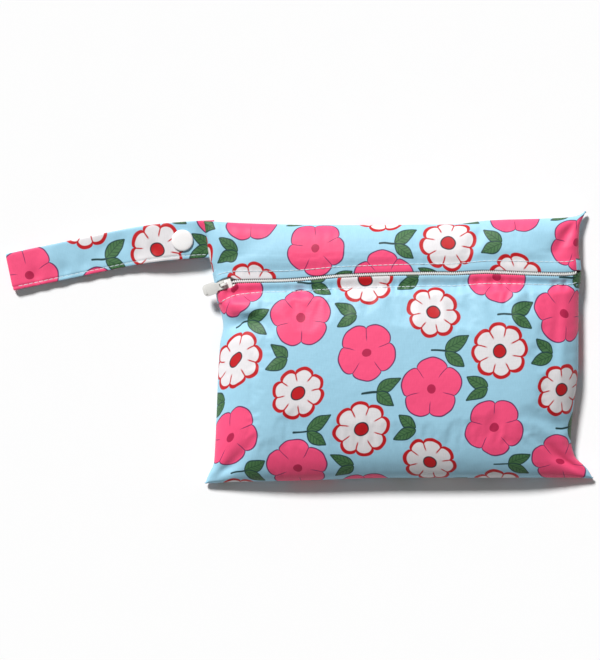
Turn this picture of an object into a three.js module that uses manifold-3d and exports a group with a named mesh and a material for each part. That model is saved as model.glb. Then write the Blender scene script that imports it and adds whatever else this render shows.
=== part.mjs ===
// Zipped cloth wet bag with a wrist strap snapped into a loop, lying on its back panel.
// Millimetres. +X runs along the zip towards the bag's right side, +Y towards its top edge and +Z up.
// The origin is the middle of the pouch, on the flat underside of the back panel.
import * as THREE from 'three';
import { mergeVertices } from 'three/addons/utils/BufferGeometryUtils.js';
import Module from 'manifold-3d';

const wasm = await Module();
wasm.setup();

// Pouch: corner to corner, and its depth at the fullest point
const pouchWidth = 224;
const pouchHeight = 154;
const pouchDepth = 24;
const clothWall = 1;
const seamCloth = 1.6;
const flatMargin = 24;

// What neighbouring pieces keep between them
const clearance = 0.3;

// Turned hems along the zip
const hemWidth = 7;
const hemWall = 2;
const hemFall = 0.6;
const lipGap = 1.8;
const lipSoftness = 0.8;
const lipCloses = 6.7;
const lipSlant = 0.45;
const upperLipLift = 0.7;
const lipLiftFade = 11;

// Zip tape and chain
const tapeWidth = 11;
const tapeWall = 0.8;
const tapeEndInset = 1.35;
const chainWidth = 4;
const chainHeight = 2;
const chainEnd = 0.985;

// Slider, which is parked at the left side seam
const sliderLength = 7.4;
const sliderWidth = 6.4;
const sliderPlate = 1;
const sliderFromSeam = 6.2;
const slotClearance = 0.45;
const plateCorner = 1.6;
const plateJoin = 0.2;
const bridgeLength = 1.6;
const bridgeInset = 0.3;
const bridgeWidth = 2;
const flangeWidth = 0.7;
const flangeInset = 1.4;
const bailInner = 0.95;
const bailOuter = 2;
const bailWidth = 1.5;
const bailRise = 1.75;
const bailShift = -0.7;

// Pull tab, which turns on the slider's bail
const pullLength = 13;
const pullWidth = 7;
const pullNeck = 4.6;
const pullNeckLength = 1.4;
const pullShoulder = 2;
const pullCorner = 2.4;
const pullPlate = 1.1;
const pullBar = 0.55;
const pullDroop = 10;
const gripFromEnd = 1.1;
const gripWidth = 1.3;
const gripRise = 0.35;

// Wrist strap, doubled back on itself
const strapReach = 115.7;
const strapWidth = 21.5;
const strapPly = 1.2;
const strapInSeam = 5;
const strapFromTop = 10.6;
const strapStartAngle = 3;
const strapEndAngle = 12;
const strapTurnShare = 0.55;
const strapParting = 6;
const strapPartingDepth = 14;
const loopSpacing = 3.4;
const freeEndPastSnap = 9.4;

// Plastic snap, 12.4 mm across the cap
const snapFromSeam = 13.8;
const capDiameter = 12.4;
const capThickness = 1.5;
const snapRingDiameter = 10.6;
const postRadius = 1.5;
const studFlange = 0.9;
const studRadius = 2.5;
const studHeight = 1.7;
const socketHeight = 2.5;
const ringWall = 0.9;
const ringEdge = 0.3;
const postEnd = 0.1;
const snapFlat = 0.6;
const snapSides = 24;

// Colours read off the photograph
const clothMaterial = new THREE.MeshStandardMaterial({ color: 0x9fd4ea, roughness: 0.55, metalness: 0 });
const zipMaterial = new THREE.MeshStandardMaterial({ color: 0xf3f2f0, roughness: 0.6, metalness: 0 });
const snapMaterial = new THREE.MeshStandardMaterial({ color: 0xf7f6f4, roughness: 0.3, metalness: 0 });
const sliderMaterial = new THREE.MeshStandardMaterial({ color: 0xe6e5e1, roughness: 0.35, metalness: 0 });

// Seam outline of the stuffed pouch. share runs along the edge, left to right or bottom to top;
// inset is how far the edge is pulled in, as a share of the width on the sides and of the height
// on the top and bottom; rise is the seam's height, as a share of the depth.
const leftEdge = [
  { share: 0, inset: 0.004, rise: 0.11 },
  { share: 0.034, inset: 0.013, rise: 0.13 },
  { share: 0.08, inset: 0.027, rise: 0.17 },
  { share: 0.24, inset: 0.033, rise: 0.22 },
  { share: 0.42, inset: 0.038, rise: 0.24 },
  { share: 0.53, inset: 0.043, rise: 0.23 },
  { share: 0.6, inset: 0.051, rise: 0.21 },
  { share: 0.7, inset: 0.036, rise: 0.19 },
  { share: 0.78, inset: 0.028, rise: 0.19 },
  { share: 0.87, inset: 0.014, rise: 0.27 },
  { share: 1, inset: 0.002, rise: 0.27 },
];
const rightEdge = [
  { share: 0, inset: -0.003, rise: 0.1 },
  { share: 0.035, inset: 0.011, rise: 0.12 },
  { share: 0.086, inset: 0.045, rise: 0.19 },
  { share: 0.15, inset: 0.055, rise: 0.23 },
  { share: 0.25, inset: 0.05, rise: 0.26 },
  { share: 0.42, inset: 0.036, rise: 0.27 },
  { share: 0.67, inset: 0.035, rise: 0.25 },
  { share: 0.78, inset: 0.03, rise: 0.23 },
  { share: 0.86, inset: 0.035, rise: 0.24 },
  { share: 0.94, inset: 0.032, rise: 0.19 },
  { share: 1, inset: 0.015, rise: 0.13 },
];
const topEdge = [
  { share: 0, inset: 0.014, rise: 0.27 },
  { share: 0.12, inset: 0.023, rise: 0.28 },
  { share: 0.3, inset: 0.029, rise: 0.28 },
  { share: 0.64, inset: 0.027, rise: 0.27 },
  { share: 0.75, inset: 0.011, rise: 0.25 },
  { share: 0.93, inset: 0.002, rise: 0.2 },
  { share: 0.97, inset: -0.004, rise: 0.16 },
  { share: 1, inset: -0.024, rise: 0.13 },
];
const bottomEdge = [
  { share: 0, inset: 0.003, rise: 0.11 },
  { share: 0.07, inset: 0.009, rise: 0.17 },
  { share: 0.25, inset: 0.016, rise: 0.26 },
  { share: 0.5, inset: 0.026, rise: 0.28 },
  { share: 0.8, inset: 0.026, rise: 0.26 },
  { share: 0.94, inset: 0.026, rise: 0.16 },
  { share: 1, inset: 0.022, rise: 0.1 },
];

// Where the zip crosses the front: share of the width, height as a share of the pouch's height
const zipCourse = [
  { share: 0, height: 0.744 },
  { share: 0.025, height: 0.761 },
  { share: 0.06, height: 0.772 },
  { share: 0.19, height: 0.78 },
  { share: 0.37, height: 0.8 },
  { share: 0.6, height: 0.806 },
  { share: 0.87, height: 0.786 },
  { share: 1, height: 0.776 },
];

// How full the pouch stands, as a share of its depth: along the width, along the zip, and up the height
const sideFullness = [
  { share: 0, full: 0 },
  { share: 0.015, full: 0.24 },
  { share: 0.04, full: 0.47 },
  { share: 0.09, full: 0.7 },
  { share: 0.18, full: 0.87 },
  { share: 0.32, full: 0.97 },
  { share: 0.5, full: 1 },
  { share: 0.7, full: 0.97 },
  { share: 0.84, full: 0.86 },
  { share: 0.92, full: 0.68 },
  { share: 0.965, full: 0.45 },
  { share: 0.985, full: 0.25 },
  { share: 1, full: 0 },
];
const zipFullness = [
  { share: 0, full: 0 },
  { share: 0.012, full: 0.58 },
  { share: 0.06, full: 0.68 },
  { share: 0.16, full: 0.84 },
  { share: 0.35, full: 0.97 },
  { share: 0.6, full: 1 },
  { share: 0.82, full: 0.93 },
  { share: 0.93, full: 0.76 },
  { share: 0.98, full: 0.5 },
  { share: 1, full: 0 },
];
const heightFullness = [
  { share: 0, full: 0 },
  { share: 0.025, full: 0.27 },
  { share: 0.065, full: 0.5 },
  { share: 0.13, full: 0.72 },
  { share: 0.23, full: 0.9 },
  { share: 0.4, full: 1 },
  { share: 0.58, full: 0.93 },
  { share: 0.7, full: 0.74 },
  { share: 0.755, full: 0.57 },
  { share: 0.79, full: 0.5 },
  { share: 0.825, full: 0.55 },
  { share: 0.88, full: 0.54 },
  { share: 0.935, full: 0.44 },
  { share: 0.975, full: 0.26 },
  { share: 1, full: 0 },
];

// How near the valley along the zip is, across the front, and where that valley lies in the table above
const valleyReach = 10.8;
const valleyShare = 0.79;

// Folds fade out this far from the seams.
const foldFade = 9;

// Folds and dents of the front. x and y are shares of the width and height, turn is in degrees from
// +X, long and wide are shares of the width, and rise is a share of the depth, below 0 for a dent.
const folds = [
  { name: 'left_pinch', x: 0.04, y: 0.61, turn: 8, long: 0.09, wide: 0.022, rise: -0.12 },
  { name: 'left_roll', x: 0.05, y: 0.68, turn: -12, long: 0.08, wide: 0.02, rise: 0.07 },
  { name: 'lower_left_ear', x: 0.045, y: 0.06, turn: 48, long: 0.07, wide: 0.02, rise: -0.1 },
  { name: 'lower_right_ear', x: 0.95, y: 0.08, turn: -52, long: 0.09, wide: 0.022, rise: -0.14 },
  { name: 'right_pinch', x: 0.965, y: 0.2, turn: -20, long: 0.08, wide: 0.02, rise: -0.08 },
  { name: 'upper_right_ear', x: 0.965, y: 0.93, turn: 55, long: 0.06, wide: 0.018, rise: -0.09 },
  { name: 'top_step', x: 0.72, y: 0.93, turn: 62, long: 0.06, wide: 0.02, rise: -0.05 },
  { name: 'under_zip_right', x: 0.83, y: 0.7, turn: 80, long: 0.07, wide: 0.02, rise: 0.06 },
  { name: 'under_zip_middle', x: 0.65, y: 0.69, turn: 105, long: 0.06, wide: 0.025, rise: -0.04 },
  { name: 'flap_left', x: 0.06, y: 0.86, turn: 30, long: 0.1, wide: 0.03, rise: -0.07 },
  { name: 'flap_right', x: 0.94, y: 0.86, turn: -35, long: 0.08, wide: 0.026, rise: -0.06 },
];

const lerp = THREE.MathUtils.lerp;
const smooth = THREE.MathUtils.smoothstep;
const radians = THREE.MathUtils.degToRad;

// A smooth curve through one column of a table, with no overshoot between its rows.
function read(table, column, at) {
  const last = table.length - 1;
  const x = THREE.MathUtils.clamp(at, table[0].share, table[last].share);
  let i = 0;
  while (i < last - 1 && x > table[i + 1].share) i += 1;
  const slope = (k) => (table[k + 1][column] - table[k][column]) / (table[k + 1].share - table[k].share);
  const tangent = (k) => {
    if (k === 0) return slope(0);
    if (k === last) return slope(last - 1);
    const before = slope(k - 1);
    const after = slope(k);
    return before * after > 0 ? (2 * before * after) / (before + after) : 0;
  };
  const span = table[i + 1].share - table[i].share;
  const u = (x - table[i].share) / span;
  return (
    table[i][column] * (1 + 2 * u) * (1 - u) ** 2 +
    tangent(i) * span * u * (1 - u) ** 2 +
    table[i + 1][column] * u * u * (3 - 2 * u) -
    tangent(i + 1) * span * u * u * (1 - u)
  );
}

// The four seams as curves in space, and the surface that they span
const sideX = (table, sign, v) => sign * pouchWidth * (0.5 - read(table, 'inset', v));
const endY = (table, sign, u) => sign * pouchHeight * (0.5 - read(table, 'inset', u));
const seamZ = (table, share) => pouchDepth * read(table, 'rise', share);

const corner = {
  lowLeft: new THREE.Vector3(sideX(leftEdge, -1, 0), endY(bottomEdge, -1, 0), seamZ(leftEdge, 0)),
  lowRight: new THREE.Vector3(sideX(rightEdge, 1, 0), endY(bottomEdge, -1, 1), seamZ(rightEdge, 0)),
  topLeft: new THREE.Vector3(sideX(leftEdge, -1, 1), endY(topEdge, 1, 0), seamZ(leftEdge, 1)),
  topRight: new THREE.Vector3(sideX(rightEdge, 1, 1), endY(topEdge, 1, 1), seamZ(rightEdge, 1)),
};

function sideSeam(table, sign, low, high, v) {
  return new THREE.Vector3(sideX(table, sign, v), lerp(low.y, high.y, v), seamZ(table, v));
}

function endSeam(table, sign, left, right, u) {
  return new THREE.Vector3(lerp(left.x, right.x, u), endY(table, sign, u), seamZ(table, u));
}

const leftSeam = (v) => sideSeam(leftEdge, -1, corner.lowLeft, corner.topLeft, v);
const rightSeam = (v) => sideSeam(rightEdge, 1, corner.lowRight, corner.topRight, v);
const bottomSeam = (u) => endSeam(bottomEdge, -1, corner.lowLeft, corner.lowRight, u);
const topSeam = (u) => endSeam(topEdge, 1, corner.topLeft, corner.topRight, u);

function seamSurface(u, v) {
  const across = leftSeam(v).lerp(rightSeam(v), u);
  const along = bottomSeam(u).lerp(topSeam(u), v);
  const low = corner.lowLeft.clone().lerp(corner.lowRight, u);
  const high = corner.topLeft.clone().lerp(corner.topRight, u);
  return across.add(along).sub(low.lerp(high, v));
}

// The seam parts where the strap is caught in it, at the top of the left side.
function parting(u, v) {
  const offStrap = Math.abs((1 - v) * pouchHeight - strapFromTop) - strapWidth / 2;
  const along = 1 - smooth(offStrap, strapParting / 2, strapParting * 1.5);
  const inward = 1 - smooth(u * pouchWidth, strapPartingDepth / 2, strapPartingDepth * 1.5);
  return ((strapPly + clearance) / 2) * along * inward;
}

const zipHeight = (u) => read(zipCourse, 'height', u);

function fullness(u, v) {
  const nearZip = Math.exp(-((((v - zipHeight(u)) * pouchHeight) / valleyReach) ** 2));
  const across = lerp(read(sideFullness, 'full', u), read(zipFullness, 'full', u), nearZip);
  const valley = valleyShare - zipHeight(u);
  return across * read(heightFullness, 'full', THREE.MathUtils.clamp(v + valley * nearZip, 0, 1));
}

function foldRise(u, v) {
  let rise = 0;
  for (const fold of folds) {
    const dx = u - fold.x;
    const dy = ((v - fold.y) * pouchHeight) / pouchWidth;
    const turn = radians(fold.turn);
    const along = (dx * Math.cos(turn) + dy * Math.sin(turn)) / fold.long;
    const across = (dy * Math.cos(turn) - dx * Math.sin(turn)) / fold.wide;
    rise += fold.rise * pouchDepth * Math.exp(-along * along - across * across);
  }
  const rim = Math.min(u, 1 - u) * pouchWidth;
  const end = Math.min(v, 1 - v) * pouchHeight;
  const offZip = Math.abs(v - zipHeight(u)) * pouchHeight;
  const offSeams = smooth(rim, 0, foldFade) * smooth(end, 0, foldFade);
  return rise * offSeams * smooth(offZip, hemWidth / 2, hemWidth * 2);
}

// Outside of the front cloth, before the lips of the zip are shaped
function frontPoint(u, v) {
  const seam = seamSurface(u, v);
  const rim = seam.z + clearance / 2 + parting(u, v) + clothWall * seamCloth;
  seam.z = rim + (pouchDepth - rim) * fullness(u, v) + foldRise(u, v);
  return seam;
}

// Outside of the back cloth, flat on the ground and turned up to the seam all round
function backPoint(u, v) {
  const seam = seamSurface(u, v);
  const turnedUp = (share, size) => 1 - smooth(Math.min(share, 1 - share) * size, 0, flatMargin);
  const side = turnedUp(u, pouchWidth);
  const end = turnedUp(v, pouchHeight);
  const rim = seam.z - clearance / 2 - parting(u, v) - clothWall * seamCloth;
  seam.z = Math.max(0, rim) * (1 - (1 - side) * (1 - end));
  return seam;
}

// A sheet on a slope needs this much more height than its wall to be as thick as its wall.
function steepness(surface, u, v) {
  const step = 0.004;
  const low = Math.max(0, u - step);
  const high = Math.min(1, u + step);
  const near = Math.max(0, v - step);
  const far = Math.min(1, v + step);
  const across = surface(high, v).sub(surface(low, v));
  const along = surface(u, far).sub(surface(u, near));
  const slope = Math.hypot(across.z / across.x, along.z / along.y);
  return Math.min(seamCloth, Math.sqrt(1 + slope * slope));
}

// Closed solid between an upper and a lower grid of points
function sheet(upper, lower) {
  const rows = upper.length;
  const columns = upper[0].length;
  const positions = [upper, lower].flat(2).flatMap((point) => point.toArray());
  const triangles = [];
  const at = (side, row, column) => (side * rows + row) * columns + column;
  const quad = (a, b, c, d) => triangles.push(a, b, c, a, c, d);
  for (let r = 0; r < rows - 1; r += 1) {
    for (let c = 0; c < columns - 1; c += 1) {
      quad(at(0, r, c), at(0, r, c + 1), at(0, r + 1, c + 1), at(0, r + 1, c));
      quad(at(1, r, c), at(1, r + 1, c), at(1, r + 1, c + 1), at(1, r, c + 1));
    }
    const right = columns - 1;
    quad(at(1, r + 1, 0), at(1, r, 0), at(0, r, 0), at(0, r + 1, 0));
    quad(at(1, r, right), at(1, r + 1, right), at(0, r + 1, right), at(0, r, right));
  }
  for (let c = 0; c < columns - 1; c += 1) {
    const top = rows - 1;
    quad(at(1, 0, c), at(1, 0, c + 1), at(0, 0, c + 1), at(0, 0, c));
    quad(at(1, top, c + 1), at(1, top, c), at(0, top, c), at(0, top, c + 1));
  }
  const geometry = new THREE.BufferGeometry();
  geometry.setAttribute('position', new THREE.Float32BufferAttribute(positions, 3));
  geometry.setIndex(triangles);
  return geometry;
}

// Solids for the joins and cuts, and back again
function toManifold(geometry) {
  const bare = geometry.clone();
  for (const name of Object.keys(bare.attributes)) if (name !== 'position') bare.deleteAttribute(name);
  const merged = mergeVertices(bare, 1e-4);
  return new wasm.Manifold(
    new wasm.Mesh({
      numProp: 3,
      vertProperties: new Float32Array(merged.attributes.position.array),
      triVerts: new Uint32Array(merged.index.array),
    }),
  );
}

function fromManifold(solid) {
  const mesh = solid.getMesh();
  const geometry = new THREE.BufferGeometry();
  const positions = new Float32Array((mesh.vertProperties.length / mesh.numProp) * 3);
  for (let i = 0; i < positions.length / 3; i += 1) {
    for (let k = 0; k < 3; k += 1) positions[3 * i + k] = mesh.vertProperties[mesh.numProp * i + k];
  }
  geometry.setAttribute('position', new THREE.BufferAttribute(positions, 3));
  geometry.setIndex(new THREE.BufferAttribute(new Uint32Array(mesh.triVerts), 1));
  return geometry;
}

const join = (...geometries) => fromManifold(geometries.map(toManifold).reduce((a, b) => a.add(b)));
const cut = (geometry, tool) => fromManifold(toManifold(geometry).subtract(toManifold(tool)));

// Columns of the cloth sheets, closer together where the pouch turns down to its side seams
const leftColumns = [0, 0.006, 0.012, 0.024, 0.038, 0.054, 0.07, 0.09, 0.12, 0.16, 0.21, 0.27, 0.33];
const rightColumns = [0.33, 0.27, 0.21, 0.16, 0.12, 0.09, 0.065, 0.045, 0.03, 0.018, 0.008, 0];
const clothColumns = [...leftColumns, 0.4, 0.47, 0.54, 0.61, ...rightColumns.map((u) => 1 - u)];

// The zip's course: the middle of the chain on the front, and where the slider sits on it
const zipPoint = (u) => frontPoint(u, zipHeight(u));
const sliderShare = sliderFromSeam / pouchWidth;

// The lips meet over the chain, and part to either side of the slider, which stands at a slant.
function lipOffset(u) {
  const half = sliderLength / pouchWidth / 2;
  const away = Math.max(0, Math.abs(u - sliderShare) - half) * pouchWidth;
  const parted = 1 - smooth(away, 0, lipCloses);
  return lerp(lipGap / 2, sliderWidth / 2 + clearance + lipSlant, parted);
}

// How far a turned hem's rounded lip falls back from its flat faces, at a distance from the lip
function lipRounding(distance) {
  const radius = hemWall / 2;
  const inward = Math.max(0, radius - distance);
  return lipSoftness * (radius - Math.sqrt(radius * radius - inward * inward));
}

// One front panel, from its lip at the zip to its seam. side is 1 above the zip and -1 below it.
function frontPanel(side, shares) {
  const hemRows = [0, hemWall * 0.15, hemWall / 2, hemWidth * 0.36, hemWidth - hemFall, hemWidth];
  const upper = [];
  const lower = [];
  const rows = [...hemRows.map((distance) => ({ distance })), ...shares.map((share) => ({ share }))];
  for (const row of rows) {
    const outside = [];
    const inside = [];
    for (const u of clothColumns) {
      const lip = zipHeight(u) + (side * lipOffset(u)) / pouchHeight;
      const hemEnd = lip + (side * hemWidth) / pouchHeight;
      const onHem = lip + (side * row.distance) / pouchHeight;
      const v = 'distance' in row ? onHem : lerp(hemEnd, (1 + side) / 2, row.share);
      const distance = Math.abs(v - lip) * pouchHeight;
      const point = frontPoint(u, v);
      const ends = smooth(Math.min(u, 1 - u) * pouchWidth, 0, lipLiftFade);
      const lifted = ends * (1 - smooth(distance, hemWidth * 0.5, hemWidth * 1.6));
      const lift = side > 0 ? upperLipLift * lifted : 0;
      const wall = distance < hemWidth - hemFall / 2 ? hemWall : clothWall * steepness(frontPoint, u, v);
      const round = distance < hemWall / 2 ? lipRounding(distance) : 0;
      outside.push(point.clone().setZ(point.z + lift - round));
      inside.push(point.clone().setZ(point.z + lift - wall + round));
    }
    upper.push(outside);
    lower.push(inside);
  }
  if (side < 0) {
    upper.reverse();
    lower.reverse();
  }
  return sheet(upper, lower);
}

// One side of the zip's tape, under the hem that it is sewn to
function tapePanel(side) {
  const upper = [];
  const lower = [];
  const inner = chainWidth / 2 + clearance * 1.5;
  const endShare = tapeEndInset / pouchWidth;
  for (const distance of [inner, hemWidth, tapeWidth]) {
    const top = [];
    const bottom = [];
    for (const u of clothColumns) {
      const inset = lerp(endShare, 1 - endShare, u);
      const v = zipHeight(inset) + (side * distance) / pouchHeight;
      const point = frontPoint(inset, v);
      const under = point.z - hemWall - clearance - clothWall * (steepness(frontPoint, inset, v) - 1);
      top.push(point.clone().setZ(under));
      bottom.push(point.clone().setZ(under - tapeWall));
    }
    upper.push(top);
    lower.push(bottom);
  }
  if (side < 0) {
    upper.reverse();
    lower.reverse();
  }
  return sheet(upper, lower);
}

const group = new THREE.Group();

function addPiece(name, geometry, material, parent = group) {
  const mesh = new THREE.Mesh(geometry, material);
  mesh.name = name;
  parent.add(mesh);
  return mesh;
}

// Front panels
const lowerRows = [0.05, 0.12, 0.2, 0.3, 0.4, 0.5, 0.6, 0.69, 0.77, 0.84, 0.89, 0.93, 0.96, 0.982, 1];
const upperRows = [0.15, 0.32, 0.5, 0.66, 0.79, 0.89, 0.96, 1];
addPiece('lower_front_panel', frontPanel(-1, lowerRows), clothMaterial);
addPiece('upper_front_panel', frontPanel(1, upperRows), clothMaterial);

// Back panel
{
  const sideColumns = [0, 0.012, 0.03, 0.05, 0.07, 0.09, 0.11];
  const columns = [...sideColumns, 0.2, 0.35, 0.5, 0.65, 0.8, ...sideColumns.map((u) => 1 - u).reverse()];
  const bottomRows = [0, 0.015, 0.035, 0.06, 0.09, 0.12, 0.16, 0.3, 0.45, 0.6, 0.72];
  const rows = [...bottomRows, 0.76, 0.8, 0.84, 0.87, 0.9, 0.93, 0.96, 0.98, 1];
  const lower = rows.map((v) => columns.map((u) => backPoint(u, v)));
  const upper = rows.map((v, r) =>
    columns.map((u, c) => lower[r][c].clone().setZ(lower[r][c].z + clothWall * steepness(backPoint, u, v))),
  );
  addPiece('back_panel', sheet(upper, lower), clothMaterial);
}

// Zip tape
addPiece('zip_tape_upper', tapePanel(1), zipMaterial);
addPiece('zip_tape_lower', tapePanel(-1), zipMaterial);

// The slider's own frame: x along the zip, y across it and z off the cloth, level with the lips
const sliderFrame = new THREE.Group();
{
  const ahead = zipPoint(sliderShare + sliderLength / 2 / pouchWidth);
  const behind = zipPoint(sliderShare - sliderLength / 2 / pouchWidth);
  const along = ahead.clone().sub(behind).normalize();
  const beside = sliderWidth / 2 / pouchHeight;
  const above = frontPoint(sliderShare, zipHeight(sliderShare) + beside);
  const below = frontPoint(sliderShare, zipHeight(sliderShare) - beside);
  const slope = above.sub(below);
  const across = slope.addScaledVector(along, -slope.dot(along)).normalize();
  const off = along.clone().cross(across);
  sliderFrame.position.copy(ahead.add(behind).multiplyScalar(0.5));
  sliderFrame.setRotationFromMatrix(new THREE.Matrix4().makeBasis(along, across, off));
  group.add(sliderFrame);
}

const chainTop = -hemWall - clearance;
const chainBottom = chainTop - chainHeight;
const tapeBottom = chainTop - tapeWall;
const topPlateBottom = chainTop + slotClearance;
const topPlateTop = topPlateBottom + sliderPlate;
const bottomPlateTop = chainBottom - slotClearance;
const bottomPlateBottom = bottomPlateTop - sliderPlate;
const bailHeight = topPlateTop + bailRise;

// Box between two corners
function block(low, high) {
  const size = high.map((value, axis) => value - low[axis]);
  const middle = high.map((value, axis) => (value + low[axis]) / 2);
  return new THREE.BoxGeometry(...size).translate(...middle);
}

// Plate with rounded corners, between two heights
function roundedPlate(length, width, radius, low, high) {
  const x = length / 2;
  const y = width / 2;
  const shape = new THREE.Shape();
  shape.moveTo(x - radius, -y).absarc(x - radius, radius - y, radius, -Math.PI / 2, 0, false);
  shape.absarc(x - radius, y - radius, radius, 0, Math.PI / 2, false);
  shape.absarc(radius - x, y - radius, radius, Math.PI / 2, Math.PI, false);
  shape.absarc(radius - x, radius - y, radius, Math.PI, 1.5 * Math.PI, false);
  const settings = { depth: high - low, bevelEnabled: false, curveSegments: 5 };
  return new THREE.ExtrudeGeometry(shape, settings).translate(0, 0, low);
}

// Zip chain: the two coils meshed, a rounded bar from inside the slider to the right side seam
{
  const start = sliderShare + (bridgeLength + 2 * slotClearance - sliderLength / 2) / pouchWidth;
  const stations = 44;
  const section = [
    { side: 0.5, up: 0.2 },
    { side: 0.5, up: -0.2 },
    { side: 0.32, up: -0.5 },
    { side: -0.32, up: -0.5 },
    { side: -0.5, up: -0.2 },
    { side: -0.5, up: 0.2 },
    { side: -0.32, up: 0.5 },
    { side: 0.32, up: 0.5 },
  ];
  const step = 0.003;
  const positions = [];
  const triangles = [];
  for (let i = 0; i <= stations; i += 1) {
    const u = lerp(start, chainEnd, i / stations);
    const middle = zipPoint(u);
    const along = zipPoint(Math.min(1, u + step)).sub(zipPoint(u - step));
    const across = new THREE.Vector3(-along.y, along.x, 0).normalize();
    for (const { side, up } of section) {
      const point = middle.clone().addScaledVector(across, side * chainWidth);
      positions.push(point.x, point.y, middle.z + (chainTop + chainBottom) / 2 + up * chainHeight);
    }
  }
  const sides = section.length;
  for (let i = 0; i < stations; i += 1) {
    for (let k = 0; k < sides; k += 1) {
      const next = (k + 1) % sides;
      const [a, b] = [i * sides + k, i * sides + next];
      triangles.push(a, b + sides, b, a, a + sides, b + sides);
    }
  }
  for (let k = 1; k < sides - 1; k += 1) {
    triangles.push(0, k, k + 1);
    triangles.push(stations * sides, stations * sides + k + 1, stations * sides + k);
  }
  const chain = new THREE.BufferGeometry();
  chain.setAttribute('position', new THREE.Float32BufferAttribute(positions, 3));
  chain.setIndex(triangles);
  addPiece('zip_chain', chain, zipMaterial);
}

// Slider: two plates joined by a bridge, flanges that hold the tape, and a bail on top
{
  const half = sliderLength / 2;
  const side = sliderWidth / 2;
  const topPlate = roundedPlate(sliderLength, sliderWidth, plateCorner, topPlateBottom, topPlateTop);
  const bottomPlate = roundedPlate(sliderLength, sliderWidth, plateCorner, bottomPlateBottom, bottomPlateTop);
  const bridge = block(
    [bridgeInset - half, -bridgeWidth / 2, bottomPlateTop - plateJoin],
    [bridgeLength - half, bridgeWidth / 2, topPlateBottom + plateJoin],
  );
  const flanges = [-1, 1].map((way) => {
    const inner = way * (side - flangeWidth);
    return block(
      [flangeInset - half, Math.min(inner, way * side), bottomPlateTop - plateJoin],
      [half - flangeInset, Math.max(inner, way * side), tapeBottom - slotClearance],
    );
  });
  const arch = new THREE.Shape();
  arch.moveTo(bailOuter, topPlateTop - plateJoin).lineTo(bailOuter, bailHeight);
  arch.absarc(0, bailHeight, bailOuter, 0, Math.PI, false);
  arch.lineTo(-bailOuter, topPlateTop - plateJoin);
  const eye = new THREE.Path();
  eye.absarc(0, bailHeight, bailInner, 0, 2 * Math.PI, true);
  arch.holes.push(eye);
  const bail = new THREE.ExtrudeGeometry(arch, { depth: bailWidth, bevelEnabled: false, curveSegments: 8 });
  bail.rotateX(Math.PI / 2).translate(bailShift, bailWidth / 2, 0);
  const slider = join(topPlate, bottomPlate, bridge, ...flanges, bail);
  addPiece('zip_slider', slider, sliderMaterial, sliderFrame);
}

// Pull tab: a plate with a window round the bail, a bar through the bail's eye and a raised grip
{
  const openingEnd = bailOuter + clearance * 2;
  const neckEnd = -(openingEnd + pullNeckLength);
  const middle = neckEnd - pullShoulder / 2;
  const shoulder = neckEnd - pullShoulder;
  const y = pullWidth / 2;
  const neck = pullNeck / 2;
  const cornerX = pullCorner - pullLength;
  const cornerY = y - pullCorner;
  const outline = new THREE.Shape();
  outline.moveTo(pullBar, -neck).lineTo(pullBar, neck).lineTo(neckEnd, neck);
  outline.bezierCurveTo(middle, neck, middle, y, shoulder, y).lineTo(cornerX, y);
  outline.absarc(cornerX, cornerY, pullCorner, Math.PI / 2, Math.PI, false);
  outline.absarc(cornerX, -cornerY, pullCorner, Math.PI, 1.5 * Math.PI, false);
  outline.lineTo(shoulder, -y).bezierCurveTo(middle, -y, middle, -neck, neckEnd, -neck);
  const settings = { depth: pullPlate, bevelEnabled: false, curveSegments: 6 };
  const plate = new THREE.ExtrudeGeometry(outline, settings).translate(0, 0, -pullPlate / 2);
  const openingSide = bailWidth / 2 + clearance;
  const opening = block([-openingEnd, -openingSide, -pullPlate], [pullBar * 2, openingSide, pullPlate]);
  const bar = new THREE.CylinderGeometry(pullBar, pullBar, pullNeck - plateJoin, 12);
  const gripHalf = pullPlate / 2 + gripRise;
  const gripAt = gripFromEnd - pullLength;
  const gripSide = y - pullCorner / 2;
  const grip = block([gripAt, -gripSide, -gripHalf], [gripAt + gripWidth, gripSide, gripHalf]);
  const pull = addPiece('pull_tab', join(cut(plate, opening), bar, grip), sliderMaterial, sliderFrame);
  pull.position.set(bailShift, 0, bailHeight);
  pull.rotation.y = -radians(pullDroop);
}

// Strap: its middle line in plan, measured from the side seam outwards
const strapStart = leftSeam(1 - strapFromTop / pouchHeight);

function strapPlan(distance) {
  const turnLength = strapTurnShare * strapReach;
  const heading = (a) => Math.PI + radians(lerp(strapStartAngle, strapEndAngle, smooth(a, 0, turnLength)));
  const point = strapStart.clone();
  const steps = 40;
  for (let i = 0; i < steps; i += 1) {
    const angle = heading((distance * (i + 0.5)) / steps);
    point.x += (Math.cos(angle) * distance) / steps;
    point.y += (Math.sin(angle) * distance) / steps;
  }
  const angle = heading(distance);
  return { point, across: new THREE.Vector3(Math.sin(angle), -Math.cos(angle), 0) };
}

// Heights of the snap's stack, from the ground up
const lowerPlyBottom = capThickness + clearance;
const studBottom = lowerPlyBottom + strapPly + clearance;
const socketBottom = studBottom + studFlange + clearance;
const socketTop = socketBottom + socketHeight;
const upperPlyBottom = socketTop + clearance;
const topCapBottom = upperPlyBottom + strapPly + clearance;

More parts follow.
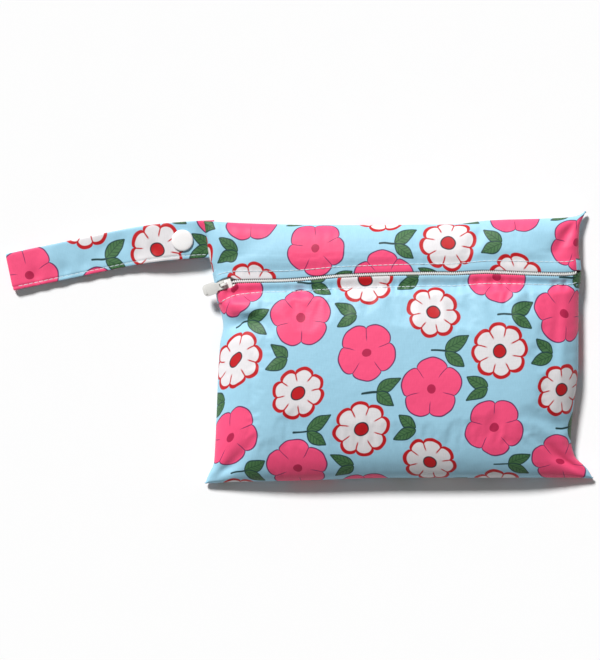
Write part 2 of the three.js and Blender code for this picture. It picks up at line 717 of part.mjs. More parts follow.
// Side view of the strap: where the middle of each ply runs, from the seam out and back again
{
  const flatHalf = capDiameter / 2 + snapFlat;
  const outEnd = strapReach - loopSpacing / 2 - strapPly / 2;
  const low = strapPly / 2;
  const share = (distance) => distance / strapReach;
  const outgoing = [
    { share: share(-strapInSeam), height: strapStart.z },
    { share: 0, height: strapStart.z },
    { share: share(snapFromSeam - flatHalf), height: upperPlyBottom + strapPly / 2 },
    { share: share(snapFromSeam + flatHalf), height: upperPlyBottom + strapPly / 2 },
    { share: 0.46, height: low + loopSpacing },
    { share: 0.7, height: low + loopSpacing * 0.86 },
    { share: share(outEnd), height: low + loopSpacing },
  ];
  const returning = [
    { share: share(snapFromSeam - freeEndPastSnap), height: lowerPlyBottom + strapPly / 2 },
    { share: share(snapFromSeam + flatHalf), height: lowerPlyBottom + strapPly / 2 },
    { share: 0.34, height: low },
    { share: share(outEnd), height: low },
  ];
  const path = [];
  const outSteps = 26;
  for (let i = 0; i <= outSteps; i += 1) {
    const distance = lerp(-strapInSeam, outEnd, i / outSteps);
    path.push([distance, read(outgoing, 'height', share(distance))]);
  }
  const turnSteps = 8;
  for (let i = 1; i < turnSteps; i += 1) {
    const angle = (Math.PI * i) / turnSteps;
    const radius = loopSpacing / 2;
    path.push([outEnd + radius * Math.sin(angle), low + radius * (1 + Math.cos(angle))]);
  }
  const backSteps = 20;
  for (let i = 0; i <= backSteps; i += 1) {
    const distance = lerp(outEnd, snapFromSeam - freeEndPastSnap, i / backSteps);
    path.push([distance, read(returning, 'height', share(distance))]);
  }
  const strapColumns = [
    { share: -0.5, thick: 0.5 },
    { share: -0.45, thick: 1 },
    { share: 0, thick: 1 },
    { share: 0.45, thick: 1 },
    { share: 0.5, thick: 0.5 },
  ];
  const outer = [];
  const inner = [];
  path.forEach(([distance, height], i) => {
    const [a, b] = [path[Math.max(0, i - 1)], path[Math.min(path.length - 1, i + 1)]];
    const run = Math.hypot(b[0] - a[0], b[1] - a[1]);
    const [normalOut, normalUp] = [-(b[1] - a[1]) / run, (b[0] - a[0]) / run];
    const row = (way) =>
      strapColumns.map((column) => {
        const offset = (way * column.thick * strapPly) / 2;
        const { point, across } = strapPlan(distance + normalOut * offset);
        point.addScaledVector(across, column.share * strapWidth);
        return point.setZ(height + normalUp * offset);
      });
    outer.push(row(1));
    inner.push(row(-1));
  });
  const snapPlan = strapPlan(snapFromSeam).point;
  const holeRadius = postRadius + clearance;
  const hole = new THREE.CylinderGeometry(holeRadius, holeRadius, pouchDepth * 2, snapSides);
  hole.rotateX(Math.PI / 2).translate(snapPlan.x, snapPlan.y, 0);
  addPiece('wrist_strap', cut(sheet(outer, inner), hole), clothMaterial);
}

// Side view of a snap's cap: shares of its radius and thickness, from the rim in to the middle
const capProfile = [
  { radius: 1, rise: 0.23 },
  { radius: 0.94, rise: 0.72 },
  { radius: 0.7, rise: 0.96 },
  { radius: 0.45, rise: 1 },
  { radius: 0, rise: 1 },
];

// Snap: a cap and a ring on each ply. Each profile is a list of [radius, height].
{
  const { point } = strapPlan(snapFromSeam);
  const turned = (profile) => {
    const points = profile.map(([radius, height]) => new THREE.Vector2(radius, height));
    return new THREE.LatheGeometry(points, snapSides).rotateX(Math.PI / 2);
  };
  const capRadius = capDiameter / 2;
  const ringRadius = snapRingDiameter / 2;
  const bore = postRadius + clearance;
  const cap = (way, face, postLength) => {
    const postTip = face - way * postLength;
    const post = [[0, postTip], [postRadius, postTip], [postRadius, face], [capRadius - ringEdge, face]];
    const dome = capProfile.map(({ radius, rise }) => [radius * capRadius, face + way * rise * capThickness]);
    const profile = [...post, ...dome];
    return turned(way > 0 ? profile : profile.reverse());
  };
  const studBase = studBottom + studFlange;
  const stud = [
    [bore, studBottom],
    [ringRadius, studBottom],
    [ringRadius, studBase],
    [studRadius * 0.92, studBase],
    [studRadius, studBase + studHeight * 0.6],
    [studRadius * 0.9, studBase + studHeight],
    [bore, studBase + studHeight],
    [bore, studBottom],
  ];
  const cavity = studRadius + clearance;
  const socket = [
    [cavity, socketBottom],
    [ringRadius - ringEdge, socketBottom],
    [ringRadius, socketBottom + ringEdge],
    [ringRadius, socketTop],
    [bore, socketTop],
    [bore, socketTop - ringWall],
    [cavity, socketTop - ringWall],
    [cavity, socketBottom],
  ];
  const lowerPost = studBase - capThickness;
  const upperPost = topCapBottom - socketTop + ringWall - postEnd;
  const pieces = {
    snap_lower_cap: cap(-1, capThickness, lowerPost),
    snap_stud: turned(stud),
    snap_socket: turned(socket),
    snap_upper_cap: cap(1, topCapBottom, upperPost),
  };
  for (const [name, geometry] of Object.entries(pieces)) {
    addPiece(name, geometry, snapMaterial).position.set(point.x, point.y, 0);
  }
}

export default group;
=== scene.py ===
import math
import bpy
import numpy as np
from mathutils import Matrix, Vector


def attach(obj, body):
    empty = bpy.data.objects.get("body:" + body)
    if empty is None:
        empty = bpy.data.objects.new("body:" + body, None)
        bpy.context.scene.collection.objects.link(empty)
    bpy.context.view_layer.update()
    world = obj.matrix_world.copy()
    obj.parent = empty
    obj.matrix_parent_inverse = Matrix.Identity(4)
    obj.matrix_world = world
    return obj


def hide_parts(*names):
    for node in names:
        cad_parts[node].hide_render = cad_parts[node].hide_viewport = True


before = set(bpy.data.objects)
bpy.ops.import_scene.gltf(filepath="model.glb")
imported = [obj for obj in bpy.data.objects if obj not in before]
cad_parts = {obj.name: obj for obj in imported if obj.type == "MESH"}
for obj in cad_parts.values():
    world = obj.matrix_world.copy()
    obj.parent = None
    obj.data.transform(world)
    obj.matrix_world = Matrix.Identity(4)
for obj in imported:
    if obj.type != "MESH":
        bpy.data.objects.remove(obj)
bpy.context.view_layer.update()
bpy.ops.object.select_all(action="DESELECT")

# Camera: a long lens straight above the pouch, so that its sides hardly show.
# The picture is 600 by 660 pixels, and a pixel is 0.575 mm at the height of the snap's cap.
MM = 0.001
PICTURE = (600, 660)
PIXEL = 0.575
ORIGIN_PIXEL = (398, 351)
SNAP_HEIGHT = 10
LENS = 200
SENSOR = 36

bpy.ops.object.camera_add()
camera = bpy.context.object
camera.name = "camera"
camera.data.lens = LENS
camera.data.sensor_width = SENSOR
camera.location = (
    (PICTURE[0] / 2 - ORIGIN_PIXEL[0]) * PIXEL * MM,
    (ORIGIN_PIXEL[1] - PICTURE[1] / 2) * PIXEL * MM,
    (SNAP_HEIGHT + PICTURE[1] * PIXEL * LENS / SENSOR) * MM,
)
bpy.context.scene.camera = camera

# Seam outline: where the three panels are sewn together, right sides facing, round the filled pouch.
# Each edge runs from left to right or from the bottom up. inset is a share of the width or height,
# and rise is a share of the depth.
WIDTH = 224
HEIGHT = 154
DEPTH = 24
CLEARANCE = 0.3

LEFT_EDGE = {
    "share": [0, 0.034, 0.08, 0.24, 0.42, 0.53, 0.6, 0.7, 0.78, 0.87, 1],
    "inset": [0.004, 0.013, 0.027, 0.033, 0.038, 0.043, 0.051, 0.036, 0.028, 0.014, 0.002],
    "rise": [0.11, 0.13, 0.17, 0.22, 0.24, 0.23, 0.21, 0.19, 0.19, 0.27, 0.27],
}
RIGHT_EDGE = {
    "share": [0, 0.035, 0.086, 0.15, 0.25, 0.42, 0.67, 0.78, 0.86, 0.94, 1],
    "inset": [-0.003, 0.011, 0.045, 0.055, 0.05, 0.036, 0.035, 0.03, 0.035, 0.032, 0.015],
    "rise": [0.1, 0.12, 0.19, 0.23, 0.26, 0.27, 0.25, 0.23, 0.24, 0.19, 0.13],
}
TOP_EDGE = {
    "share": [0, 0.12, 0.3, 0.64, 0.75, 0.93, 0.97, 1],
    "inset": [0.014, 0.023, 0.029, 0.027, 0.011, 0.002, -0.004, -0.024],
    "rise": [0.27, 0.28, 0.28, 0.27, 0.25, 0.2, 0.16, 0.13],
}
BOTTOM_EDGE = {
    "share": [0, 0.07, 0.25, 0.5, 0.8, 0.94, 1],
    "inset": [0.003, 0.009, 0.016, 0.026, 0.026, 0.026, 0.022],
    "rise": [0.11, 0.17, 0.26, 0.28, 0.26, 0.16, 0.1],
}


def curve(table, column, at):
    """A smooth curve through one column of a table, with no overshoot between its rows."""
    x = np.array(table["share"], float)
    y = np.array(table[column], float)
    slope = np.diff(y) / np.diff(x)
    before = slope[:-1]
    after = slope[1:]
    same_way = before * after > 0
    mean = 2 * before * after / np.where(same_way, before + after, 1)
    tangent = np.concatenate([slope[:1], np.where(same_way, mean, 0), slope[-1:]])
    at = np.clip(at, x[0], x[-1])
    row = np.clip(np.searchsorted(x, at, side="right") - 1, 0, len(x) - 2)
    span = x[row + 1] - x[row]
    t = (at - x[row]) / span
    low = y[row] * (1 + 2 * t) * (1 - t) ** 2 + tangent[row] * span * t * (1 - t) ** 2
    high = y[row + 1] * t * t * (3 - 2 * t) - tangent[row + 1] * span * t * t * (1 - t)
    return low + high


def smooth(value, low, high):
    """0 below low, 1 above high, and a smooth step between them."""
    t = np.clip((value - low) / (high - low), 0, 1)
    return t * t * (3 - 2 * t)


def corner(up, across):
    """A corner of the seams: up is 1 at the top, and across is 1 on the right."""
    side = RIGHT_EDGE if across > 0 else LEFT_EDGE
    end = TOP_EDGE if up > 0 else BOTTOM_EDGE
    v = (1 + up) / 2
    u = (1 + across) / 2
    x = across * WIDTH * (0.5 - curve(side, "inset", v))
    y = up * HEIGHT * (0.5 - curve(end, "inset", u))
    return np.array([x, y, DEPTH * curve(side, "rise", v)])


def side_seam(edge, sign, v):
    x = sign * WIDTH * (0.5 - curve(edge, "inset", v))
    low = corner(-1, sign)[1]
    high = corner(1, sign)[1]
    return np.stack([x, low + (high - low) * v, DEPTH * curve(edge, "rise", v)], -1)


def end_seam(edge, sign, u):
    y = sign * HEIGHT * (0.5 - curve(edge, "inset", u))
    left = corner(sign, -1)[0]
    right = corner(sign, 1)[0]
    return np.stack([left + (right - left) * u, y, DEPTH * curve(edge, "rise", u)], -1)


def seam_surface(u, v):
    """The surface that the seams span. u runs from left to right, and v from the bottom up."""
    u3 = u[..., None]
    v3 = v[..., None]
    across = side_seam(LEFT_EDGE, -1, v) * (1 - u3) + side_seam(RIGHT_EDGE, 1, v) * u3
    along = end_seam(BOTTOM_EDGE, -1, u) * (1 - v3) + end_seam(TOP_EDGE, 1, u) * v3
    low = corner(-1, -1) * (1 - u3) + corner(-1, 1) * u3
    high = corner(1, -1) * (1 - u3) + corner(1, 1) * u3
    return across + along - low * (1 - v3) - high * v3


# Printed cloth: polyester knit with a thin waterproof film laminated to its back, dyed pale blue
# and screen printed with pink blossoms, white daisies rimmed in red, and green sprigs.
# The print is drawn from distances in the cut's millimetres, so it bends and shortens with the cloth.
TILE = (76, 88)

# Motifs: kind, x, y, turn in degrees and size
MOTIFS = (
    ("stem", 27, 43.5, 178, 9),
    ("leaf", 26, 44, 32, 15.5),
    ("leaf", 26, 43, -38, 14),
    ("stem", 65, 64.3, 184, 9),
    ("leaf", 64, 64.5, 28, 15),
    ("leaf", 64, 64, -36, 13.5),
    ("leaf", 51, 21.5, 150, 14),
    ("leaf", 51, 21, 210, 13),
    ("leaf", 12, 87, 144, 13),
    ("leaf", 12, 86.5, 206, 14),
    ("blossom", 19, 22, 20, 17.6),
    ("blossom", 57, 87, -14, 16.8),
    ("daisy", 57, 43, 8, 16.4),
    ("daisy", 19, 66, 31, 15.4),
)
GROUND_BLUE = "#9FD0E6"
PINK_INK = "#FA507F"
PINK_LINE_INK = "#5E1E54"
PINK_HEART_INK = "#B81C4C"
WHITE_INK = "#E4E1E3"
RED_INK = "#C00A16"
DARK_INK = "#22202F"
GREEN_INK = "#467245"
GREEN_LINE_INK = "#183C3E"
VEIN_INK = "#264F31"


def linear(code):
    """An sRGB hex colour as linear red, green, blue and alpha."""
    channels = [int(code[i : i + 2], 16) / 255 for i in (1, 3, 5)]
    return [c / 12.92 if c <= 0.04045 else ((c + 0.055) / 1.055) ** 2.4 for c in channels] + [1]


def add(tree, kind, inputs=None, **settings):
    """Adds a node with its settings. An input is a value, a socket, or a node's first output."""
    made = tree.nodes.new("ShaderNode" + kind)
    for key, value in settings.items():
        setattr(made, key, value)
    for key, value in (inputs or {}).items():
        if isinstance(value, bpy.types.Node):
            value = value.outputs[0]
        if isinstance(value, bpy.types.NodeSocket):
            tree.links.new(value, made.inputs[key])
        else:
            made.inputs[key].default_value = value
    return made


def new_material(name, roughness, specular, more=None):
    material = bpy.data.materials.new(name)
    material.use_nodes = True
    tree = material.node_tree
    tree.nodes.clear()
    sockets = {"Roughness": roughness, "Specular IOR Level": specular, **(more or {})}
    shader = add(tree, "BsdfPrincipled", sockets)
    add(tree, "OutputMaterial", {"Surface": shader})
    return material, tree, shader


def motif_place(tree, cut, middle_x, middle_y, turn):
    """Coordinates about a motif's own middle, repeated in a half drop and turned."""
    width, height = TILE
    across = add(tree, "Math", {0: cut["X"], 1: float(middle_x)}, operation="SUBTRACT")
    turns = add(tree, "Math", {0: across, 1: 1 / width, 2: 0.5}, operation="MULTIPLY_ADD")
    column = add(tree, "Math", {0: turns}, operation="FLOOR")
    x = add(tree, "Math", {0: column, 1: -float(width), 2: across}, operation="MULTIPLY_ADD")
    drop = add(tree, "Math", {0: column, 1: height / 2, 2: -float(middle_y)}, operation="MULTIPLY_ADD")
    up = add(tree, "Math", {0: cut["Y"], 1: drop}, operation="ADD")
    y = add(tree, "Math", {0: up, 1: height / 2, 2: -height / 2}, operation="WRAP")
    place = add(tree, "CombineXYZ", {"X": x, "Y": y})
    turned = {"Vector": place, "Rotation": (0, 0, -math.radians(turn))}
    return add(tree, "Mapping", turned, vector_type="POINT")


def inside(tree, distance, edge, soft=0.18):
    """1 where a distance is below an edge and 0 past it, as soft as the rim of printed ink."""
    limits = {"From Min": edge - soft, "From Max": edge + soft, "To Min": 1.0, "To Max": 0.0}
    return add(tree, "MapRange", {"Value": distance, **limits})


def ink(tree, under, code, *masks):
    """One colour printed over what is under it, where all the masks are 1."""
    mask = masks[0]
    for other in masks[1:]:
        mask = add(tree, "Math", {0: mask, 1: other}, operation="MULTIPLY")
    return add(tree, "Mix", {0: mask, 6: under, 7: linear(code)}, data_type="RGBA").outputs[2]


def petals(tree, place, radius, count, depth, roundness):
    """Distance past an outline of petals, the distance from its middle, and from the nearest notch."""
    apart = add(tree, "SeparateXYZ", {0: place})
    angle = add(tree, "Math", {0: apart.outputs["Y"], 1: apart.outputs["X"]}, operation="ARCTAN2")
    half = add(tree, "Math", {0: angle, 1: count / 2}, operation="MULTIPLY")
    wave = add(tree, "Math", {0: half}, operation="COSINE")
    lobe = add(tree, "Math", {0: wave}, operation="ABSOLUTE")
    rounded = add(tree, "Math", {0: lobe, 1: roundness}, operation="POWER")
    reach = {0: rounded, 1: radius * depth, 2: radius * (1 - depth)}
    outline = add(tree, "Math", reach, operation="MULTIPLY_ADD")
    off = add(tree, "VectorMath", {0: place}, operation="LENGTH").outputs["Value"]
    past = add(tree, "Math", {0: off, 1: outline}, operation="SUBTRACT")
    step = 2 * math.pi / count
    turned = add(tree, "Math", {0: angle, 1: step, 2: 0.0}, operation="WRAP")
    from_notch = add(tree, "Math", {0: turned, 1: step / 2}, operation="SUBTRACT")
    sine = add(tree, "Math", {0: from_notch}, operation="SINE")
    sideways = add(tree, "Math", {0: sine}, operation="ABSOLUTE")
    gap = add(tree, "Math", {0: sideways, 1: off}, operation="MULTIPLY")
    return past, off, gap


def beyond(tree, distance, edge, soft):
    """1 where a distance is above an edge."""
    limits = {"From Min": edge - soft, "From Max": edge + soft}
    return add(tree, "MapRange", {"Value": distance, **limits})


def draw_blossom(tree, under, place, size):
    past, off, gap = petals(tree, place, size, 5, 0.2, 0.55)
    under = ink(tree, under, PINK_LINE_INK, inside(tree, past, 0.3))
    under = ink(tree, under, PINK_INK, inside(tree, past, -0.4))
    outer = beyond(tree, off, size * 0.45, 1.2)
    under = ink(tree, under, PINK_LINE_INK, inside(tree, gap, 0.2, 0.16), outer, inside(tree, past, -0.3))
    return ink(tree, under, PINK_HEART_INK, inside(tree, off, size * 0.15))


def draw_daisy(tree, under, place, size):
    past, off, gap = petals(tree, place, size, 8, 0.18, 0.5)
    under = ink(tree, under, RED_INK, inside(tree, past, 0.1))
    under = ink(tree, under, WHITE_INK, inside(tree, past, -2.0))
    outer = beyond(tree, off, size * 0.5, 0.8)
    under = ink(tree, under, RED_INK, inside(tree, gap, 0.4, 0.2), outer, inside(tree, past, -1.0))
    ring = add(tree, "Math", {0: off, 1: size * 0.24}, operation="SUBTRACT")
    rim = inside(tree, add(tree, "Math", {0: ring}, operation="ABSOLUTE"), 0.35)
    under = ink(tree, under, RED_INK, inside(tree, ring, 0.0))
    return ink(tree, under, DARK_INK, rim)


def draw_leaf(tree, under, place, size):
    apart = add(tree, "SeparateXYZ", {0: place})
    along = apart.outputs["X"]
    share = add(tree, "Math", {0: along, 1: 1 / size}, operation="MULTIPLY", use_clamp=True)
    eased = add(tree, "Math", {0: share, 1: 0.8}, operation="POWER")
    turned = add(tree, "Math", {0: eased, 1: math.pi}, operation="MULTIPLY")
    belly = add(tree, "Math", {0: turned}, operation="SINE")
    half = add(tree, "Math", {0: belly, 1: size * 0.25}, operation="MULTIPLY")
    sideways = add(tree, "Math", {0: apart.outputs["Y"]}, operation="ABSOLUTE")
    past = add(tree, "Math", {0: sideways, 1: half}, operation="SUBTRACT")
    start = add(tree, "Math", {0: along, 1: 0.0}, operation="GREATER_THAN")
    held = add(tree, "Math", {0: inside(tree, along, size), 1: start}, operation="MULTIPLY")
    under = ink(tree, under, GREEN_LINE_INK, inside(tree, past, 0.35), held)
    body = inside(tree, past, -0.35)
    under = ink(tree, under, GREEN_INK, body, held)
    slanted = add(tree, "Math", {0: sideways, 1: -0.9, 2: along}, operation="MULTIPLY_ADD")
    repeated = add(tree, "Math", {0: slanted, 1: -1.15, 2: 1.15}, operation="WRAP")
    off_vein = add(tree, "Math", {0: repeated}, operation="ABSOLUTE")
    veins = inside(tree, add(tree, "Math", {0: off_vein, 1: sideways}, operation="MINIMUM"), 0.22, 0.16)
    return ink(tree, under, VEIN_INK, veins, body, held)


def draw_stem(tree, under, place, size):
    apart = add(tree, "SeparateXYZ", {0: place})
    along = apart.outputs["X"]
    nearest = add(tree, "Clamp", {"Value": along, "Min": 0.0, "Max": float(size)})
    left = add(tree, "Math", {0: along, 1: nearest}, operation="SUBTRACT")
    off_line = add(tree, "CombineXYZ", {"X": left, "Y": apart.outputs["Y"]})
    distance = add(tree, "VectorMath", {0: off_line}, operation="LENGTH")
    return ink(tree, under, GREEN_LINE_INK, inside(tree, distance.outputs["Value"], 0.6))


DRAW = {"blossom": draw_blossom, "daisy": draw_daisy, "leaf": draw_leaf, "stem": draw_stem}


def printed_knit():
    """Polyester knit with a laminated back: smooth and dense, with a soft satin fall of light."""
    sheen = {"Sheen Weight": 0.05, "Sheen Roughness": 0.4}
    material, tree, shader = new_material("printed laminated polyester knit", 0.55, 0.4, sheen)
    uv = add(tree, "UVMap")
    wander = add(tree, "TexNoise", {"Vector": uv, "Scale": 0.09, "Detail": 1.0}).outputs["Color"]
    centred = add(tree, "VectorMath", {0: wander, 1: (0.5, 0.5, 0.5)}, operation="SUBTRACT")
    hand_drawn = {0: centred, 1: (2.2, 2.2, 0.0), 2: uv.outputs["UV"]}
    drawn = add(tree, "VectorMath", hand_drawn, operation="MULTIPLY_ADD")
    cut = add(tree, "SeparateXYZ", {0: drawn}).outputs
    colour = linear(GROUND_BLUE)
    for kind, x, y, turn, size in MOTIFS:
        colour = DRAW[kind](tree, colour, motif_place(tree, cut, x, y, turn), size)
    # Dye takes unevenly along the wales of the knit, in streaks about half a millimetre wide.
    wale = add(tree, "Mapping", {"Vector": uv, "Scale": (1.9, 0.28, 1)})
    streak = add(tree, "TexNoise", {"Vector": wale, "Scale": 1.0, "Detail": 3.0, "Roughness": 0.6})
    depth = {"From Min": 0.25, "From Max": 0.75, "To Min": 0.94, "To Max": 1.03}
    shade = add(tree, "MapRange", {"Value": streak, **depth})
    toned = add(tree, "Mix", {0: 1.0, 6: colour, 7: shade}, data_type="RGBA", blend_type="MULTIPLY")
    tree.links.new(toned.outputs[2], shader.inputs["Base Color"])
    # Wales and courses are 0.45 mm apart, and drawn 0.9 mm apart because finer ones don't show.
    wales = add(tree, "TexWave", {"Vector": uv, "Scale": 0.35, "Distortion": 0.6})
    courses = add(tree, "TexWave", {"Vector": uv, "Scale": 0.35, "Distortion": 0.6}, bands_direction="Y")
    loops = add(tree, "Math", {0: wales.outputs["Fac"], 1: courses.outputs["Fac"]}, operation="ADD")
    fine = add(tree, "Bump", {"Height": loops, "Strength": 0.2, "Distance": 0.05 * MM})
    creases = add(tree, "TexNoise", {"Vector": uv, "Scale": 0.11, "Detail": 2.0})
    soft = {"Height": creases, "Strength": 0.4, "Distance": 0.7 * MM, "Normal": fine}
    tree.links.new(add(tree, "Bump", soft).outputs[0], shader.inputs["Normal"])
    return material


knit = printed_knit()

# Back panel: one piece of the printed cloth, flat where it lies and turned up to the seam all round.
# Only its rolled edge shows from the front, past the corners.
CLOTH = 0.45
EDGE_ROLL = 1.75
EDGE_TUCK = 0.9
FLAT_MARGIN = 24
BACK_SPACING = 2.2
BACK_PRINT = (31, 46)
BACK_UNDER_SEAM = 0.05
BACK_PUCKERS = 0.5
EVENING_PASSES = 60
STRAP_WIDTH = 21.5
STRAP_PLY = 1.2
STRAP_FROM_TOP = 10.6
PARTING = (3, 9)
PARTING_DEPTH = (7, 21)

# The seam's thread gathers the cloth a little, in short uneven puckers square to each edge.
PUCKER = 0.2
PUCKER_PITCH = 6.4
PUCKER_REACH = 6.5


def parting(u, v):
    """Half of the room that the strap takes between the panels, where it is caught in the seam."""
    off_strap = np.abs((1 - v) * HEIGHT - STRAP_FROM_TOP) - STRAP_WIDTH / 2
    along = 1 - smooth(off_strap, *PARTING)
    return (STRAP_PLY + CLEARANCE) / 2 * along * (1 - smooth(u * WIDTH, *PARTING_DEPTH))


def from_ends(share, length):
    """Distance to the nearer end of a length, in millimetres."""
    return np.minimum(share, 1 - share) * length


def edge_drop(u, v):
    """How far the rolled edge falls below its own top: a quarter circle in from the seam."""
    inwards = np.minimum(from_ends(u, WIDTH), from_ends(v, HEIGHT))
    left = 1 - np.clip(inwards / EDGE_ROLL, 0, 1)
    return EDGE_ROLL * (1 - np.sqrt(1 - left * left))


def ripple(distance, phase):
    """An uneven wave along an edge, between about -1 and 1."""
    drift = 1.9 * np.sin(2 * math.pi * distance / 37 + phase)
    swell = 0.55 + 0.45 * np.sin(2 * math.pi * distance / 53 + 2.3 * phase)
    return swell * np.sin(2 * math.pi * distance / PUCKER_PITCH + drift)


def puckers(u, v):
    total = np.zeros(np.broadcast(u, v).shape)
    edges = (
        (u * WIDTH, v * HEIGHT, 0.4),
        ((1 - u) * WIDTH, v * HEIGHT, 2.1),
        (v * HEIGHT, u * WIDTH, 3.9),
        ((1 - v) * HEIGHT, u * WIDTH, 5.2),
    )
    for inwards, along, phase in edges:
        fade = np.exp(-inwards / PUCKER_REACH) * (1 - np.exp(-inwards / 1.5))
        total += PUCKER * fade * ripple(along, phase)
    return total


def back_point(u, v):
    """Outside of the back cloth, in millimetres."""
    seam = seam_surface(u, v)
    side = 1 - smooth(from_ends(u, WIDTH), 0, FLAT_MARGIN)
    end = 1 - smooth(from_ends(v, HEIGHT), 0, FLAT_MARGIN)
    turned_up = 1 - (1 - side) * (1 - end)
    top = seam[..., 2] - parting(u, v) - BACK_UNDER_SEAM
    rim = np.maximum(0, top - EDGE_ROLL) * turned_up
    height = np.maximum(0, rim - BACK_PUCKERS * puckers(u, v) * turned_up)
    seam[..., 2] = height + np.minimum(edge_drop(u, v), top)
    return seam


def spaced(length, spacing):
    """Shares of a length, close together at both ends for the rolled edge and even between them."""
    near = np.array([0, 0.1, 0.35, 0.75, 1.25, 1.75, 2.5, 3.5])
    steps = round((length - 2 * near[-1]) / spacing)
    middle = np.linspace(near[-1], length - near[-1], steps + 1)
    return np.concatenate([[0], near[:-1], middle, length - near[-2::-1], [length]]) / length


def cut_lengths(points, start_row):
    """The flat cut's millimetres at each point: lengths along the rows and along the columns.

    The weave keeps neighbouring threads level, so what slopes add to them is evened out."""
    across = np.linalg.norm(np.diff(points, axis=1), axis=2)
    x = np.concatenate([np.zeros((len(points), 1)), np.cumsum(across, axis=1)], axis=1)
    x -= x[:, x.shape[1] // 2][:, None] + points[..., 0]
    up = np.linalg.norm(np.diff(points, axis=0), axis=2)
    y = np.concatenate([np.zeros((1, points.shape[1])), np.cumsum(up, axis=0)], axis=0)
    y -= y[start_row]
    for _ in range(EVENING_PASSES):
        x[1:-1] = (x[:-2] + 2 * x[1:-1] + x[2:]) / 4
        y[:, 1:-1] = (y[:, :-2] + 2 * y[:, 1:-1] + y[:, 2:]) / 4
    return np.stack([x + points[..., 0], y], -1)


def grid_sheet(name, points, cut):
    """A grid of cloth with its points in millimetres and the cut's millimetres as its UV map."""
    rows, columns = points.shape[:2]
    bpy.ops.mesh.primitive_grid_add(x_subdivisions=columns - 1, y_subdivisions=rows - 1, size=1)
    sheet = bpy.context.object
    sheet.name = name
    sheet.data.name = name
    sheet.data.vertices.foreach_set("co", (points * MM).astype(np.float32).ravel())
    corners = np.empty(len(sheet.data.loops), np.int32)
    sheet.data.loops.foreach_get("vertex_index", corners)
    uv = cut.reshape(-1, 2)[corners].astype(np.float32)
    sheet.data.uv_layers.active.data.foreach_set("uv", uv.ravel())
    sheet.data.update()
    bpy.ops.object.shade_smooth()
    return sheet


def make_active(piece):
    bpy.ops.object.select_all(action="DESELECT")
    bpy.context.view_layer.objects.active = piece
    piece.select_set(True)


def apply_modifiers(piece):
    make_active(piece)
    for modifier in list(piece.modifiers):
        bpy.ops.object.modifier_apply(modifier=modifier.name)
    piece.select_set(False)


def thicken(sheet, wall):
    """Gives the cloth its thickness, inwards from its printed face."""
    solid = sheet.modifiers.new("thickness", "SOLIDIFY")
    solid.thickness = wall * MM
    solid.offset = -1
    apply_modifiers(sheet)


def join_frame(piece, nodes, material, body="bag"):
    """Puts a finished piece in the frame, in place of its nodes."""
    piece.data.materials.clear()
    piece.data.materials.append(material)
    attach(piece, body)
    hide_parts(*nodes)


u, v = np.meshgrid(spaced(WIDTH, BACK_SPACING), spaced(HEIGHT, BACK_SPACING))
points = back_point(u, v)
points[:, 0, 0] += EDGE_TUCK
points[:, -1, 0] -= EDGE_TUCK
points[0, :, 1] += EDGE_TUCK
points[-1, :, 1] -= EDGE_TUCK
back_cloth = grid_sheet("back_cloth", points[:, ::-1], cut_lengths(points, 0)[:, ::-1] + BACK_PRINT)
thicken(back_cloth, CLOTH)
join_frame(back_cloth, ["back_panel"], knit)

# Front panels: printed cloth above and below the zip, turned under along it and sewn to its tape.
# They belly out over what is in the pouch, and a simulation lets the cloth settle between its seams.
# full is a share of the depth, along the width, along the zip and up the height.
ZIP_COURSE = {
    "share": [0, 0.025, 0.06, 0.19, 0.37, 0.6, 0.87, 1],
    "height": [0.744, 0.761, 0.772, 0.78, 0.8, 0.806, 0.786, 0.776],
}
SIDE_FULLNESS = {
    "share": [0, 0.015, 0.04, 0.09, 0.18, 0.32, 0.5, 0.7, 0.84, 0.92, 0.965, 0.985, 1],
    "full": [0, 0.24, 0.47, 0.7, 0.87, 0.97, 1, 0.97, 0.86, 0.68, 0.45, 0.25, 0],
}
ZIP_FULLNESS = {
    "share": [0, 0.012, 0.06, 0.16, 0.35, 0.6, 0.82, 0.93, 0.98, 1],
    "full": [0, 0.58, 0.68, 0.84, 0.97, 1, 0.93, 0.76, 0.5, 0],
}
HEIGHT_FULLNESS = {
    "share": [0, 0.025, 0.065, 0.13, 0.23, 0.4, 0.58, 0.7, 0.755, 0.79, 0.825, 0.88, 0.935, 0.975, 1],
    "full": [0, 0.27, 0.5, 0.72, 0.9, 1, 0.93, 0.74, 0.57, 0.5, 0.55, 0.54, 0.44, 0.26, 0],
}
VALLEY_REACH = 10.8
VALLEY_SHARE = 0.79

